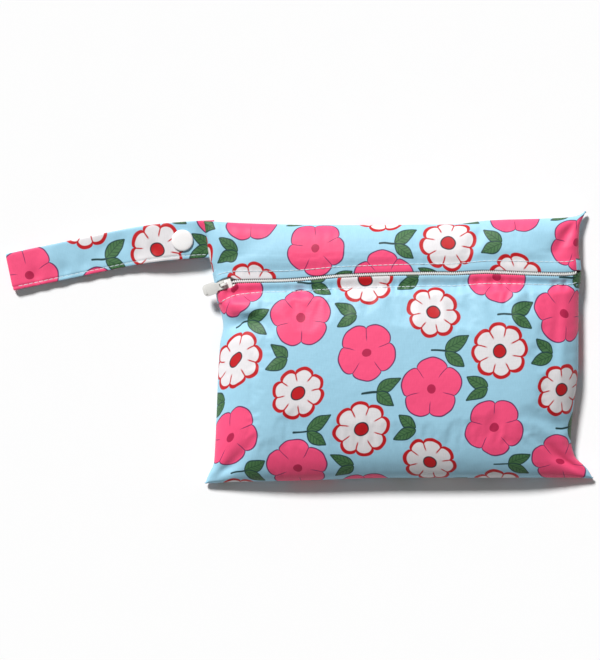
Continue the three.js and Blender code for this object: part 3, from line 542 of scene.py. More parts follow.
# Folds and dents: x, y, turn, long, wide and rise. Turns are in degrees from +X, rises in mm, and
# the rest are shares.
FOLDS = {
    "left_pinch": (0.04, 0.61, 8, 0.09, 0.022, -2.9),
    "left_roll": (0.05, 0.68, -12, 0.08, 0.02, 1.7),
    "lower_left_ear": (0.045, 0.06, 48, 0.07, 0.02, -2.4),
    "lower_right_ear": (0.955, 0.075, -52, 0.08, 0.02, -2.8),
    "right_pinch": (0.965, 0.2, -20, 0.08, 0.02, -1.9),
    "upper_right_ear": (0.965, 0.93, 55, 0.06, 0.018, -2.2),
    "top_step": (0.72, 0.93, 62, 0.06, 0.02, -1.2),
    "under_zip_right": (0.83, 0.7, 80, 0.07, 0.02, 1.4),
    "under_zip_middle": (0.65, 0.69, 105, 0.06, 0.025, -1.0),
    "flap_left": (0.06, 0.86, 30, 0.1, 0.03, -1.7),
    "flap_right": (0.94, 0.86, -35, 0.08, 0.026, -1.4),
    "crease_from_pinch": (0.075, 0.63, 28, 0.06, 0.008, -0.7),
    "crease_over_pinch": (0.06, 0.655, -4, 0.05, 0.007, 0.6),
    "right_ridge": (0.955, 0.5, 86, 0.12, 0.012, 0.7),
    "right_trough": (0.93, 0.55, 84, 0.1, 0.012, -0.6),
    "zip_pucker_one": (0.8, 0.715, 72, 0.035, 0.008, -0.6),
    "zip_pucker_two": (0.855, 0.715, 104, 0.04, 0.008, -0.6),
    "zip_pucker_three": (0.13, 0.71, 66, 0.04, 0.009, -0.5),
    "corner_crease": (0.93, 0.09, -38, 0.05, 0.01, 0.4),
}
FOLD_FADE = 9

# The hems. side is 1 above the zip and -1 below it, and distances run from the lip into the cloth.
HEM = 7
LIP_RADIUS = 0.5
LIP_ROOM = 5
TURNED_UNDER = 6.5
LIP_GAP = 2.4
LIP_PARTS = 3.1
LIP_CLOSES = 3.4
LIP_SHUTS = 0.85
LIP_SHUTS_OVER = (0.5, 3.2)
LIP_LIFT = {-1: 0.1, 1: 0.15}
STITCH_PULL = {-1: 2.4, 1: 0.7}
STITCH_RECOVERS = 5.5
STITCH_UNEVEN = 0.25
HEM_EASES_IN = 11
SLIDER_LENGTH = 7.4
SLIDER_FROM_SEAM = 6.2
FRONT_SPACING = 1.25

# How far each line of stitching runs from the middle of the zip, in mm along the width
STITCH_COURSE = {
    -1: {"share": [0, 0.07, 0.15, 0.3, 0.45, 0.62, 0.8, 1], "off": [9.6, 7.5, 6.5, 7.2, 7.8, 7.5, 6.4, 5.8]},
    1: {"share": [0, 0.1, 0.4, 0.6, 0.7, 0.8, 1], "off": [6.4, 5.9, 5.5, 5.8, 6.2, 7.2, 7.5]},
}
PANELS = {
    -1: {"name": "lower_front_cloth", "node": "lower_front_panel", "flat": (0.234, 0.134), "print": (0, 0)},
    1: {"name": "upper_front_cloth", "node": "upper_front_panel", "flat": (0.232, 0.044), "print": (26, 27)},
}

# The simulation: the cloth has a little more length than the space, and light stuffing under it.
SETTLE_STEPS = 26
SETTLE_EASE = 0.007
SETTLE_PRESSURE = 0.3
SETTLE_MOST = 0.8
LOOSE_COLUMNS = (5, 27)
LOOSE_PAST_HEM = 6


def zip_height(u):
    return curve(ZIP_COURSE, "height", u)


def fullness(u, v):
    near_zip = np.exp(-(((v - zip_height(u)) * HEIGHT / VALLEY_REACH) ** 2))
    off_zip = curve(SIDE_FULLNESS, "full", u)
    across = off_zip + (curve(ZIP_FULLNESS, "full", u) - off_zip) * near_zip
    shifted = np.clip(v + (VALLEY_SHARE - zip_height(u)) * near_zip, 0, 1)
    return across * curve(HEIGHT_FULLNESS, "full", shifted)


def fold_rise(u, v):
    rise = np.zeros(np.broadcast(u, v).shape)
    for x, y, degrees, long, wide, most in FOLDS.values():
        turn = math.radians(degrees)
        dx = u - x
        dy = (v - y) * HEIGHT / WIDTH
        along = (dx * math.cos(turn) + dy * math.sin(turn)) / long
        across = (dy * math.cos(turn) - dx * math.sin(turn)) / wide
        rise += most * np.exp(-along * along - across * across)
    side = smooth(from_ends(u, WIDTH), 0, FOLD_FADE)
    end = smooth(from_ends(v, HEIGHT), 0, FOLD_FADE)
    off_zip = np.abs(v - zip_height(u)) * HEIGHT
    return rise * side * end * smooth(off_zip, HEM / 2, HEM * 2)


def bulge(u, v):
    """Outside of the front, in millimetres, before the hems are shaped."""
    seam = seam_surface(u, v)
    rim = seam[..., 2] + CLEARANCE / 2 + parting(u, v) + EDGE_ROLL
    height = rim + (DEPTH - rim) * fullness(u, v) + fold_rise(u, v) + puckers(u, v)
    seam[..., 2] = height - edge_drop(u, v)
    return seam


def parted(u):
    """1 at the slider, where the lips part and the chain sinks into it, and 0 away from it."""
    away = np.abs(u * WIDTH - SLIDER_FROM_SEAM) - SLIDER_LENGTH / 2
    return 1 - smooth(np.maximum(0, away), 0, LIP_CLOSES)


def lip_height(u, side):
    """Share of the height at which a lip runs: it parts round the slider and closes at the zip's end."""
    shut = LIP_SHUTS * (1 - smooth((1 - u) * WIDTH, *LIP_SHUTS_OVER))
    offset = LIP_GAP / 2 * (1 - shut) + (LIP_PARTS - LIP_GAP / 2) * parted(u)
    return zip_height(u) + side * offset / HEIGHT


def front_point(u, v, side):
    """Outside of a front panel. Its lip stands proud, and its stitching pulls the cloth in."""
    point = bulge(u, v)
    distance = side * (v - lip_height(u, side)) * HEIGHT
    ends = smooth(from_ends(u, WIDTH), 0, HEM_EASES_IN)
    lift = LIP_LIFT[side] * (1 - smooth(distance, HEM * 0.5, HEM * 1.6))
    off_zip = side * (v - zip_height(u)) * HEIGHT
    stitch = curve(STITCH_COURSE[side], "off", u)
    pull = smooth(off_zip, LIP_GAP / 2, stitch) * (1 - smooth(off_zip, stitch, stitch + STITCH_RECOVERS))
    uneven = 1 + STITCH_UNEVEN * ripple(u * WIDTH, 1.3 + side)
    point[..., 2] += ends * (lift - STITCH_PULL[side] * pull * uneven)
    return point


def panel_rows(u, side):
    """Rows of points from the seam to the lip, round it and back under the hem."""
    inside_lip = lip_height(u, side) + side * LIP_RADIUS / HEIGHT
    seam = (1 + side) / 2
    length = abs(seam - zip_height(np.array(0.5))) * HEIGHT
    shares = spaced(length, FRONT_SPACING)
    shares = shares[shares < 1 - 0.9 * FRONT_SPACING / length]
    rows = [front_point(u, seam + (inside_lip - seam) * share, side) for share in [*shares, 1]]
    rows[0] = rows[0] - [0, side * EDGE_TUCK, 0]
    crest = rows[-1]
    room = smooth(from_ends(u, WIDTH), 0, LIP_ROOM)
    for angle in np.linspace(0, math.pi, 9)[1:]:
        point = crest.copy()
        point[:, 1] -= side * LIP_RADIUS * math.sin(angle)
        point[:, 2] -= LIP_RADIUS * (1 - math.cos(angle)) * room
        rows.append(point)
    for distance in np.linspace(0, TURNED_UNDER, 7)[1:]:
        point = front_point(u, inside_lip + side * distance / HEIGHT, side)
        point[:, 2] -= 2 * LIP_RADIUS * room
        rows.append(point)
    return np.array(rows), len(shares)


def looseness(rows, crest_row, columns):
    """How free the cloth is to move: 0 at its seams and its hem, and 1 in the open."""
    row = np.arange(rows)[:, None]
    column = np.arange(columns)[None, :]
    from_seam = smooth(np.minimum(np.minimum(column, columns - 1 - column), row), *LOOSE_COLUMNS)
    from_hem = smooth(crest_row - row, HEM / FRONT_SPACING, (HEM + LOOSE_PAST_HEM) / FRONT_SPACING)
    return from_seam * from_hem


def settle(sheet, loose):
    """Lets the cloth find its own wrinkles between its seams, and applies what it finds."""
    start = np.empty(len(sheet.data.vertices) * 3, np.float32)
    sheet.data.vertices.foreach_get("co", start)
    sewn = sheet.vertex_groups.new(name="sewn")
    for index in np.flatnonzero(loose < 1):
        sewn.add([int(index)], float(1 - loose[index]), "REPLACE")
    cloth = sheet.modifiers.new("cloth", "CLOTH")
    cloth.settings.quality = 6
    cloth.settings.mass = 0.15
    cloth.settings.tension_stiffness = 15
    cloth.settings.compression_stiffness = 15
    cloth.settings.shear_stiffness = 6
    cloth.settings.bending_stiffness = 0.3
    cloth.settings.air_damping = 2
    cloth.settings.vertex_group_mass = sewn.name
    cloth.settings.shrink_min = -SETTLE_EASE
    cloth.settings.use_pressure = True
    cloth.settings.uniform_pressure_force = SETTLE_PRESSURE
    cloth.settings.effector_weights.gravity = 0
    cloth.collision_settings.use_collision = False
    cloth.point_cache.frame_end = SETTLE_STEPS
    for step in range(1, SETTLE_STEPS + 1):
        bpy.context.scene.frame_set(step)
    apply_modifiers(sheet)
    bpy.context.scene.frame_set(1)
    end = np.empty_like(start)
    sheet.data.vertices.foreach_get("co", end)
    moved = (end - start).reshape(-1, 3)
    length = np.linalg.norm(moved, axis=1)
    most = SETTLE_MOST * MM
    moved *= (loose * np.minimum(1, most / np.maximum(length, 1e-9)))[:, None]
    sheet.data.vertices.foreach_set("co", (start.reshape(-1, 3) + moved).ravel())
    sheet.data.update()
    sheet.vertex_groups.clear()


for side, panel in PANELS.items():
    u = spaced(WIDTH, FRONT_SPACING)
    points, crest_row = panel_rows(u, side)
    points[:, 0, 0] += EDGE_TUCK
    points[:, -1, 0] -= EDGE_TUCK
    cut = cut_lengths(points, crest_row)
    loose = looseness(len(points), crest_row, len(u))
    if side > 0:
        cut[..., 1] *= -1
        points, cut, loose = points[::-1], cut[::-1], loose[::-1]
    front_cloth = grid_sheet(panel["name"], points, cut + panel["print"])
    settle(front_cloth, loose.ravel())
    thicken(front_cloth, CLOTH)
    join_frame(front_cloth, [panel["node"]], knit)

# Topstitching along both hems: white polyester thread in a lockstitch of three millimetres.
# Each stitch is a bead of thread, and it meets the next one in the needle's hole.
STITCH_PITCH = 3
HEM_SEWN = (0.012, 0.988)
STITCH_LENGTH = 3.1
STITCH_LIFT = 0.14
THREAD = 0.34
THREAD_WHITES = ("#D2E2E9", "#E6F0F4")


def mottled(tree, shader, scale, shades, detail=2.0):
    """Colours a material between two close shades, in a cloud that it returns."""
    place = add(tree, "TexCoord").outputs["Object"]
    cloud = add(tree, "TexNoise", {"Vector": place, "Scale": scale, "Detail": detail})
    tone = {0: cloud, 6: linear(shades[0]), 7: linear(shades[1])}
    tree.links.new(add(tree, "Mix", tone, data_type="RGBA").outputs[2], shader.inputs["Base Color"])
    return cloud


def embossed(tree, shader, height, strength, depth):
    """Raises a texture off a surface, with its depth in millimetres."""
    bump = add(tree, "Bump", {"Height": height, "Strength": strength, "Distance": depth * MM})
    tree.links.new(bump.outputs[0], shader.inputs["Normal"])


def spun_thread():
    """Spun polyester sewing thread: matt and slightly hairy, its fuzz about 0.4 mm apart."""
    material, tree, shader = new_material("spun polyester thread", 0.75, 0.3)
    fuzz = mottled(tree, shader, 2500.0, THREAD_WHITES)
    embossed(tree, shader, fuzz, 0.5, 0.05)
    return material


def one_stitch():
    """A bead of thread along +X, with round ends."""
    bpy.ops.mesh.primitive_uv_sphere_add(segments=8, ring_count=6, radius=0.5 * MM)
    stitch = bpy.context.object
    size = Vector((STITCH_LENGTH, THREAD * 1.2, THREAD))
    stitch.data.transform(Matrix.Diagonal((*size, 1)))
    bpy.ops.object.shade_smooth()
    return stitch


def copies(pattern, name, places):
    """Copies a small piece to each place, and joins the copies into one piece."""
    for place in places:
        copy = pattern.copy()
        copy.data = pattern.data.copy()
        copy.data.transform(place)
        bpy.context.collection.objects.link(copy)
        copy.select_set(True)
        bpy.context.view_layer.objects.active = copy
    pattern.select_set(False)
    bpy.ops.object.join()
    bpy.data.objects.remove(pattern)
    joined = bpy.context.object
    joined.name = name
    joined.data.name = name
    return joined


def seam_places(line, up):
    """Places along a line of points in millimetres, a stitch apart: X along it and Z off the cloth."""
    run = np.concatenate([[0], np.cumsum(np.linalg.norm(np.diff(line, axis=0), axis=1))])

    def reached(rows, distance):
        return Vector([np.interp(distance, run, rows[:, axis]) for axis in range(3)])

    half = STITCH_PITCH / 2
    for distance in np.arange(half, run[-1], STITCH_PITCH):
        along = (reached(line, distance + half) - reached(line, distance - half)).normalized()
        across = reached(up, distance).cross(along).normalized()
        turn = Matrix((along, across, along.cross(across))).transposed().to_4x4()
        yield Matrix.Translation(reached(line, distance) * MM) @ turn


def sew(name, line, up):
    stitching = copies(one_stitch(), name, seam_places(line, up))
    stitching.data.materials.append(thread)
    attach(stitching, "bag")


def cloth_normals(u, v, side):
    step = 0.001
    along = front_point(u + step, v, side) - front_point(u - step, v, side)
    up = front_point(u, v + step, side) - front_point(u, v - step, side)
    normal = np.cross(along, up)
    return normal / np.linalg.norm(normal, axis=-1)[..., None]


thread = spun_thread()
for side, name in ((1, "upper_hem_stitching"), (-1, "lower_hem_stitching")):
    u = np.linspace(*HEM_SEWN, 900)
    v = zip_height(u) + side * curve(STITCH_COURSE[side], "off", u) / HEIGHT
    normals = cloth_normals(u, v, side)
    sew(name, front_point(u, v, side) + STITCH_LIFT * normals, normals)

# Zip tape: two strips of woven polyester, one sewn under each hem, with the coils along their edges.
# They sink towards the slider, which rides lower than the lips.
TAPE_WIDTH = 12
TAPE_WALL = 0.45
TAPE_INNER = 1.5
TAPE_UNDER = 1.2
TAPE_SINKS = 1.15
TAPE_FALLS = 0.25
TAPE_ENDS = (0.012, 0.99)
TAPE_WHITE = "#F3F2EF"


def woven_tape():
    """Polyester zip tape: a fine herringbone, its ribs about 0.8 mm apart, with painted shade in the grooves
    between them.
    """
    material, tree, shader = new_material("woven polyester tape", 0.7, 0.3)
    uv = add(tree, "UVMap")
    apart = add(tree, "SeparateXYZ", {0: uv})
    folded = add(tree, "Math", {0: apart.outputs["Y"], 1: 2.0}, operation="PINGPONG")
    slanted = add(tree, "Math", {0: apart.outputs["X"], 1: folded}, operation="ADD")
    ribs = add(tree, "Math", {0: slanted, 1: 0.4}, operation="PINGPONG")
    embossed(tree, shader, ribs, 0.6, 0.15)
    # The white is painted darker where the ribs dip, as painted shade in the grooves of the weave.
    tone = add(tree, "MapRange", {"Value": ribs, "From Max": 0.4, "To Min": 0.9, "To Max": 1.0})
    shaded = {0: 1.0, 6: linear(TAPE_WHITE), 7: tone}
    toned = add(tree, "Mix", shaded, data_type="RGBA", blend_type="MULTIPLY")
    tree.links.new(toned.outputs[2], shader.inputs["Base Color"])
    return material


tape = woven_tape()
for side, name, node in ((1, "upper_tape", "zip_tape_upper"), (-1, "lower_tape", "zip_tape_lower")):
    u = np.linspace(*TAPE_ENDS, 160)
    rows = []
    for distance in np.linspace(TAPE_INNER, TAPE_WIDTH, 9):
        v = zip_height(u) + side * distance / HEIGHT
        point = front_point(u, v, side)
        lifted = np.maximum(0, point[:, 2] - bulge(u, v)[:, 2])
        beyond_hem = max(0, distance - HEM) * TAPE_FALLS
        point[:, 2] -= TAPE_UNDER + TAPE_SINKS * parted(u) + beyond_hem + lifted
        rows.append(point)
    points = np.array(rows if side > 0 else rows[::-1])
    strip = grid_sheet(name, points, cut_lengths(points, 0))
    thicken(strip, TAPE_WALL)
    join_frame(strip, [node], tape)

# Zip chain: two coils of nylon monofilament, sewn to the tapes and meshed down the middle.
# It shows between the lips as a white strip.
COIL_PITCH = 1.25
COIL_POINTS = 12
COIL_WIRE = 0.3
COIL_INNER = -0.5
COIL_OUTER = 0.9
COIL_HALF_HEIGHT = 0.62
COIL_UNDER = 0.6
COIL_SINKS = 2.7
COIL_ENDS = (0.0235, 0.985)
NYLON_WHITES = ("#EFEFEC", "#F8F8F6")


def nylon():
    """Extruded nylon monofilament: smooth, faintly clear and softly glossy."""
    depth = {"Subsurface Radius": (1.0, 1.0, 1.0), "Subsurface Scale": 0.6 * MM}
    clear = {"Subsurface Weight": 0.25, **depth}
    material, tree, shader = new_material("nylon monofilament", 0.35, 0.5, clear)
    mottled(tree, shader, 300.0, NYLON_WHITES)
    return material


def coil(side):
    """One side's coil, as a curve that winds along the zip."""
    length = (COIL_ENDS[1] - COIL_ENDS[0]) * WIDTH
    count = round(length / COIL_PITCH) * COIL_POINTS
    turn = 2 * math.pi * np.arange(count) / COIL_POINTS
    u = COIL_ENDS[0] + (COIL_ENDS[1] - COIL_ENDS[0]) * np.arange(count) / (count - 1)
    half = (COIL_OUTER - COIL_INNER) / 2
    reach = COIL_INNER + half * (1 - np.cos(turn))
    middle = bulge(u, zip_height(u))
    middle[:, 1] += side * reach
    middle[:, 0] += (0.25 + 0.25 * side) * COIL_PITCH
    sunk = COIL_UNDER + COIL_SINKS * parted(u)
    middle[:, 2] += COIL_HALF_HEIGHT * np.sin(turn) - sunk
    wire = bpy.data.curves.new("coil", "CURVE")
    wire.dimensions = "3D"
    wire.bevel_depth = COIL_WIRE * MM
    wire.bevel_resolution = 1
    wire.use_fill_caps = True
    path = wire.splines.new("POLY")
    path.points.add(count - 1)
    path.points.foreach_set("co", np.column_stack([middle * MM, np.ones(count)]).ravel())
    made = bpy.data.objects.new("coil", wire)
    bpy.context.collection.objects.link(made)
    make_active(made)
    bpy.ops.object.convert(target="MESH")
    bpy.ops.object.shade_smooth()
    return bpy.context.object


coils = [coil(1), coil(-1)]
for one in coils:
    one.select_set(True)
bpy.ops.object.join()
zip_coils = bpy.context.object
zip_coils.name = "zip_coils"
zip_coils.data.name = "zip_coils"
join_frame(zip_coils, ["zip_chain"], nylon())

# Slider and pull: cast zinc with baked white enamel. The pull hangs on the slider's bail and turns on it.
# Both keep the frame's shapes, with their cast edges rounded.
SLIDER_ENAMEL = ("#ECEBE7", "#F5F4F1")
# The pull's shades are the slider's white enamel painted greyer, as painted shade.
PULL_SHADED_ENAMEL = ("#D2D1CD", "#DFDEDA")
CAST_EDGE = 0.16


def enamel(name, shades):
    """Baked enamel over cast zinc: glossy, and a little uneven in depth and colour."""
    material, tree, shader = new_material(name, 0.28, 0.5)
    flow = mottled(tree, shader, 450.0, shades)
    embossed(tree, shader, flow, 0.15, 0.1)
    return material


def rounded_copy(node, name, radius):
    """A merged copy of a node's mesh, with its hard edges rounded."""
    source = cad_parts[node]
    copy = bpy.data.objects.new(name, source.data.copy())
    copy.data.name = name
    bpy.context.collection.objects.link(copy)
    make_active(copy)
    bpy.ops.object.mode_set(mode="EDIT")
    bpy.ops.mesh.select_all(action="SELECT")
    bpy.ops.mesh.remove_doubles(threshold=0.002 * MM)
    bpy.ops.mesh.dissolve_limited(angle_limit=math.radians(1))
    bpy.ops.object.mode_set(mode="OBJECT")
    bevel = copy.modifiers.new("cast_edge", "BEVEL")
    bevel.width = radius * MM
    bevel.segments = 2
    bevel.angle_limit = math.radians(35)
    apply_modifiers(copy)
    make_active(copy)
    bpy.ops.object.shade_smooth_by_angle(angle=math.radians(40))
    copy.select_set(False)
    return copy


slider = rounded_copy("zip_slider", "slider", CAST_EDGE)
slider_enamel = enamel("white baked enamel on cast zinc", SLIDER_ENAMEL)
join_frame(slider, ["zip_slider"], slider_enamel)
pull = rounded_copy("pull_tab", "pull_plate", CAST_EDGE)
# The pull's enamel is painted greyer than the slider's, as painted shade.
pull_shaded_enamel = enamel("white baked enamel on cast zinc, greyed as painted shade", PULL_SHADED_ENAMEL)
join_frame(pull, ["pull_tab"], pull_shaded_enamel, body="pull")

# Wrist strap: printed cloth folded into a flat strip, stitched along its lower edge and doubled back.
# Its start is caught in the left seam, and its free end lies under the snap.
STRAP_REACH = 115.7
STRAP_IN_SEAM = 5
STRAP_START_ANGLE = 3
STRAP_END_ANGLE = 12
STRAP_TURN_SHARE = 0.55
LOOP_SPACING = 3.4
FREE_END_PAST_SNAP = 9.4
STRAP_STITCH = 1.9
STRAP_PRINT = (15, 3)
STRAP_THIN = 0.72
STRAP_WAVE = 0.35
STRAP_SQUARENESS = 14
STRAP_GROOVE = 0.45
STRAP_ROWS = 130
RETURN_ROWS = 105
SNAP_FROM_SEAM = 13.8
SNAP_FLAT_HALF = 6.8
CAP_THICKNESS = 1.5
STUD_FLANGE = 0.9
SOCKET_HEIGHT = 2.5

# Dimples: mm from the seam, mm from the strap's middle line, length, width and rise.
DIMPLES = (
    (31, -3, 3, 5, -1.0),
    (40, -5, 3, 5, -0.95),
    (49, 4, 4, 5, -0.7),
    (60, 2, 4.5, 5, -1.0),
    (72, -4, 3.5, 5, -0.7),
    (84, -5, 3.2, 4.5, -1.0),
    (92, 3, 4.5, 5, 0.5),
    (101, -5, 3.2, 4.5, -0.9),
)

strap_start = side_seam(LEFT_EDGE, -1, np.array(1 - STRAP_FROM_TOP / HEIGHT))
lower_ply_bottom = CAP_THICKNESS + CLEARANCE
stud_bottom = lower_ply_bottom + STRAP_PLY + CLEARANCE
socket_bottom = stud_bottom + STUD_FLANGE + CLEARANCE
socket_top = socket_bottom + SOCKET_HEIGHT
upper_ply_bottom = socket_top + CLEARANCE
top_cap_bottom = upper_ply_bottom + STRAP_PLY + CLEARANCE


def strap_heading(distance):
    eased = smooth(distance, 0, STRAP_TURN_SHARE * STRAP_REACH)
    return math.pi + np.radians(STRAP_START_ANGLE + (STRAP_END_ANGLE - STRAP_START_ANGLE) * eased)


def strap_plan(distance, across):
    """A point of the strap seen from above, so far out along it and across from its middle line."""
    steps = 40
    travelled = distance[..., None] * (np.arange(steps) + 0.5) / steps
    heading = strap_heading(travelled)
    x = strap_start[0] + np.cos(heading).sum(-1) * distance / steps
    y = strap_start[1] + np.sin(heading).sum(-1) * distance / steps
    end = strap_heading(distance)
    return x + across * np.sin(end), y - across * np.cos(end)


def strap_path():
    """The strap's side view: out along the upper ply, round the fold and back along the lower ply."""
    low = STRAP_PLY / 2
    radius = LOOP_SPACING / 2
    out_end = STRAP_REACH - radius - low
    free_end = SNAP_FROM_SEAM - FREE_END_PAST_SNAP
    near = SNAP_FROM_SEAM - SNAP_FLAT_HALF
    far = SNAP_FROM_SEAM + SNAP_FLAT_HALF
    upper = upper_ply_bottom + low
    under = lower_ply_bottom + low
    top = low + LOOP_SPACING
    out = {
        "share": [-STRAP_IN_SEAM, 0, near, far, 0.46 * STRAP_REACH, 0.7 * STRAP_REACH, out_end],
        "height": [strap_start[2], strap_start[2], upper, upper, top, low + LOOP_SPACING * 0.86, top],
    }
    back = {
        "share": [free_end, far, 0.34 * STRAP_REACH, out_end],
        "height": [under, under, low, low],
    }
    going = np.linspace(-STRAP_IN_SEAM, out_end, STRAP_ROWS)
    turn = np.linspace(0, math.pi, 11)[1:-1]
    coming = np.linspace(out_end, free_end, RETURN_ROWS)
    distance = np.concatenate([going, out_end + radius * np.sin(turn), coming])
    turned = low + radius * (1 + np.cos(turn))
    return distance, np.concatenate([curve(out, "height", going), turned, curve(back, "height", coming)])


distance, height = strap_path()
run_out = np.gradient(distance)
run_up = np.gradient(height)
run = np.hypot(run_out, run_up)
normal_out = (-run_up / run)[:, None]
normal_up = (run_out / run)[:, None]
edge = STRAP_WIDTH / 2
fine = edge - np.array([0, 0.05, 0.2, 0.45, 0.8, 1.2, 1.6, 1.9, 2.2, 2.7, 3.5])
across = np.concatenate([-fine, np.linspace(-fine[-1], fine[-1], 14)[1:-1], fine[::-1]])
section = np.sqrt(np.maximum(0, 1 - (np.abs(across) / edge) ** STRAP_SQUARENESS))
from_stitch = np.abs(across + edge - STRAP_STITCH)
thick = STRAP_PLY * section * (1 - STRAP_GROOVE * np.exp(-((from_stitch / 0.45) ** 2)))
thick *= 1 - (1 - STRAP_THIN) * (1 - smooth(across + edge, STRAP_STITCH, STRAP_STITCH + 0.6))
along = distance[:, None]
off_snap = smooth(np.abs(along - SNAP_FROM_SEAM), SNAP_FLAT_HALF, SNAP_FLAT_HALF + 6)
off_ends = smooth(along, 0, 8) * smooth(STRAP_REACH - along, 2, 10)
wave = STRAP_WAVE * ripple(along * 0.62, 0.9) * np.exp(-(across + edge) / 5)
for far_out, off_middle, long, wide, rise in DIMPLES:
    off = ((along - far_out) / long) ** 2
    wave = wave + rise * np.exp(-off - ((across - off_middle) / wide) ** 2)
upper_ply = (np.arange(len(distance)) < STRAP_ROWS)[:, None]
wave = wave * off_snap * off_ends * np.where(upper_ply, 1, 0.3)
faces = []
for way in (1, -1):
    offset = way * thick / 2
    x, y = strap_plan(along + normal_out * offset, np.broadcast_to(across, wave.shape))
    face = np.stack([x, y, height[:, None] + normal_up * offset + wave], -1)
    faces.append(face if way > 0 else face[:, ::-1][:, 1:])
points = np.concatenate(faces, axis=1)
points[..., 2] = np.maximum(points[..., 2], 0)
girth = np.concatenate([across, 2 * edge - across[::-1][1:]])
flow = np.cumsum(run) - run[0]
cut = np.stack(np.broadcast_arrays(-flow[:, None], girth[None, :]), -1) + STRAP_PRINT
strap_cloth = grid_sheet("strap_cloth", points, cut)
make_active(strap_cloth)
bpy.ops.object.mode_set(mode="EDIT")
bpy.ops.mesh.select_all(action="SELECT")
bpy.ops.mesh.remove_doubles(threshold=0.001 * MM)
bpy.ops.mesh.fill_holes(sides=0)
bpy.ops.mesh.select_all(action="SELECT")
bpy.ops.mesh.normals_make_consistent(inside=False)
bpy.ops.object.mode_set(mode="OBJECT")
join_frame(strap_cloth, ["wrist_strap"], knit)

stitch_line = faces[0][6:STRAP_ROWS, int(np.argmin(from_stitch))]
upward = np.tile([0.0, 0.0, 1.0], (len(stitch_line), 1))
sew("strap_stitching", stitch_line, upward)

# Snap: four pieces of moulded acetal. The cap of each pair has a post that is pressed flat inside
# the stud or the socket, with the cloth between them, and the stud clicks into the socket.
CAP_RADIUS = 6.2
RING_RADIUS = 5.3
RING_EDGE = 0.25
POST_RADIUS = 1.5
STUD_RADIUS = 2.5
STUD_HEIGHT = 1.7
RING_WALL = 0.9
SNAP_SIDES = 64
TINY = 0.001
ACETAL_WHITES = ("#F6F3F2", "#FBF9F8")
CAP_PROFILE = (
    *((0.955, 0), (1, 0.14), (1, 0.34), (0.985, 0.52), (0.95, 0.68)),
    *((0.89, 0.79), (0.78, 0.88), (0.6, 0.95), (0.4, 0.985), (0.2, 1)),
)


def acetal():
    """Moulded acetal resin: dense and satin, with a faint waxy depth and fine mould texture."""
    depth = {"Subsurface Radius": (1.0, 0.9, 0.85), "Subsurface Scale": 0.8 * MM}
    waxy = {"Subsurface Weight": 0.12, **depth}
    material, tree, shader = new_material("moulded acetal resin", 0.36, 0.5, waxy)
    grain = mottled(tree, shader, 1800.0, ACETAL_WHITES)
    embossed(tree, shader, grain, 0.12, 0.03)
    return material


def turned(name, profile):
    """A round moulding: a circle extruded along its profile of (radius, height) rows."""
    x, y = strap_plan(np.array(float(SNAP_FROM_SEAM)), 0)
    radius, height = profile[0]
    bpy.ops.object.select_all(action="DESELECT")
    bpy.ops.mesh.primitive_circle_add(vertices=SNAP_SIDES, radius=radius * MM, enter_editmode=True)
    bpy.ops.transform.translate(value=(0, 0, height * MM))
    for new_radius, new_height in profile[1:]:
        bpy.ops.mesh.extrude_region_move()
        scale = new_radius / radius
        bpy.ops.transform.resize(value=(scale, scale, 1), center_override=(0, 0, height * MM))
        bpy.ops.transform.translate(value=(0, 0, (new_height - height) * MM))
        radius, height = new_radius, new_height
    bpy.ops.mesh.select_all(action="SELECT")
    bpy.ops.mesh.remove_doubles(threshold=0.002 * MM)
    bpy.ops.mesh.normals_make_consistent(inside=False)
    bpy.ops.object.mode_set(mode="OBJECT")
    piece = bpy.context.object
    piece.name = name
    piece.data.name = name
    piece.data.transform(Matrix.Translation(Vector((float(x), float(y), 0)) * MM))
    bpy.ops.object.shade_smooth_by_angle(angle=math.radians(38))
    return piece


def cap_profile(way, face, post_length):
    """A cap's rows: a post through the cloth, and a domed face away from it."""
    post_end = face - way * post_length
    dome = [(share * CAP_RADIUS, face + way * rise * CAP_THICKNESS) for share, rise in CAP_PROFILE]
    top = (TINY, face + way * CAP_THICKNESS)
    return [(TINY, post_end), (POST_RADIUS, post_end), (POST_RADIUS, face), *dome, top]


def ring_side(bottom, top):
    """The outside of a ring, with both its edges chamfered."""
    inner = RING_RADIUS - RING_EDGE
    return [(inner, bottom), (RING_RADIUS, bottom + RING_EDGE), (RING_RADIUS, top - RING_EDGE), (inner, top)]


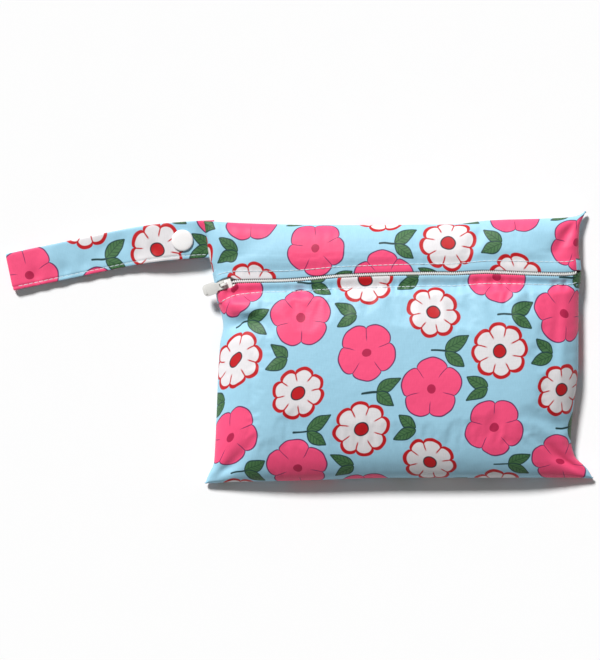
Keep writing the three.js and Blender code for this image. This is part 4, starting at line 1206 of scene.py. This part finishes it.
bore = POST_RADIUS + CLEARANCE
cavity = STUD_RADIUS + CLEARANCE
stud_base = stud_bottom + STUD_FLANGE
SNAP_PIECES = {
    "lower_cap": cap_profile(-1, CAP_THICKNESS, stud_base - CAP_THICKNESS),
    "stud": [
        (bore, stud_bottom),
        *ring_side(stud_bottom, stud_base),
        (STUD_RADIUS * 0.92, stud_base),
        (STUD_RADIUS, stud_base + STUD_HEIGHT * 0.6),
        (STUD_RADIUS * 0.98, stud_base + STUD_HEIGHT * 0.8),
        (STUD_RADIUS * 0.88, stud_base + STUD_HEIGHT),
        (bore, stud_base + STUD_HEIGHT),
        (bore, stud_bottom),
    ],
    "socket": [
        (cavity, socket_bottom),
        *ring_side(socket_bottom, socket_top),
        (bore, socket_top),
        (bore, socket_top - RING_WALL),
        (cavity, socket_top - RING_WALL),
        (cavity, socket_bottom),
    ],
    "upper_cap": cap_profile(1, top_cap_bottom, top_cap_bottom - socket_top + RING_WALL - 0.1),
}

resin = acetal()
for name, profile in SNAP_PIECES.items():
    join_frame(turned(name, profile), ["snap_" + name], resin)

# Floor: a plain white card, which the pouch lies on.
CARD_WHITES = ("#FDFDFD", "#FEFEFE")
bpy.ops.object.select_all(action="DESELECT")
bpy.ops.mesh.primitive_plane_add(size=6, location=(0, 0, -0.1 * MM))
floor = bpy.context.object
floor.name = "floor"
card, tree, shader = new_material("matt white card", 0.9, 0.1)
mottled(tree, shader, 40.0, CARD_WHITES, detail=3.0)
floor.data.materials.append(card)

# Studio light: one lamp above and beyond the top edge, a little to the left, and a pale room.
LAMP_TOWARDS = (-0.5, 0.92, 0.9)
LAMP_STRENGTH = 4.0
LAMP_SPREAD = 12
ROOM_STRENGTH = 0.17
bpy.ops.object.light_add(type="SUN")
lamp = bpy.context.object
lamp.name = "lamp"
lamp.data.energy = LAMP_STRENGTH
lamp.data.angle = math.radians(LAMP_SPREAD)
lamp.rotation_euler = Vector(LAMP_TOWARDS).to_track_quat("Z", "Y").to_euler()
room = bpy.data.worlds.new("room")
bpy.context.scene.world = room
room.use_nodes = True
room.node_tree.nodes["Background"].inputs["Color"].default_value = linear("#FFFFFF")
room.node_tree.nodes["Background"].inputs["Strength"].default_value = ROOM_STRENGTH
bpy.context.scene.view_settings.view_transform = "Standard"
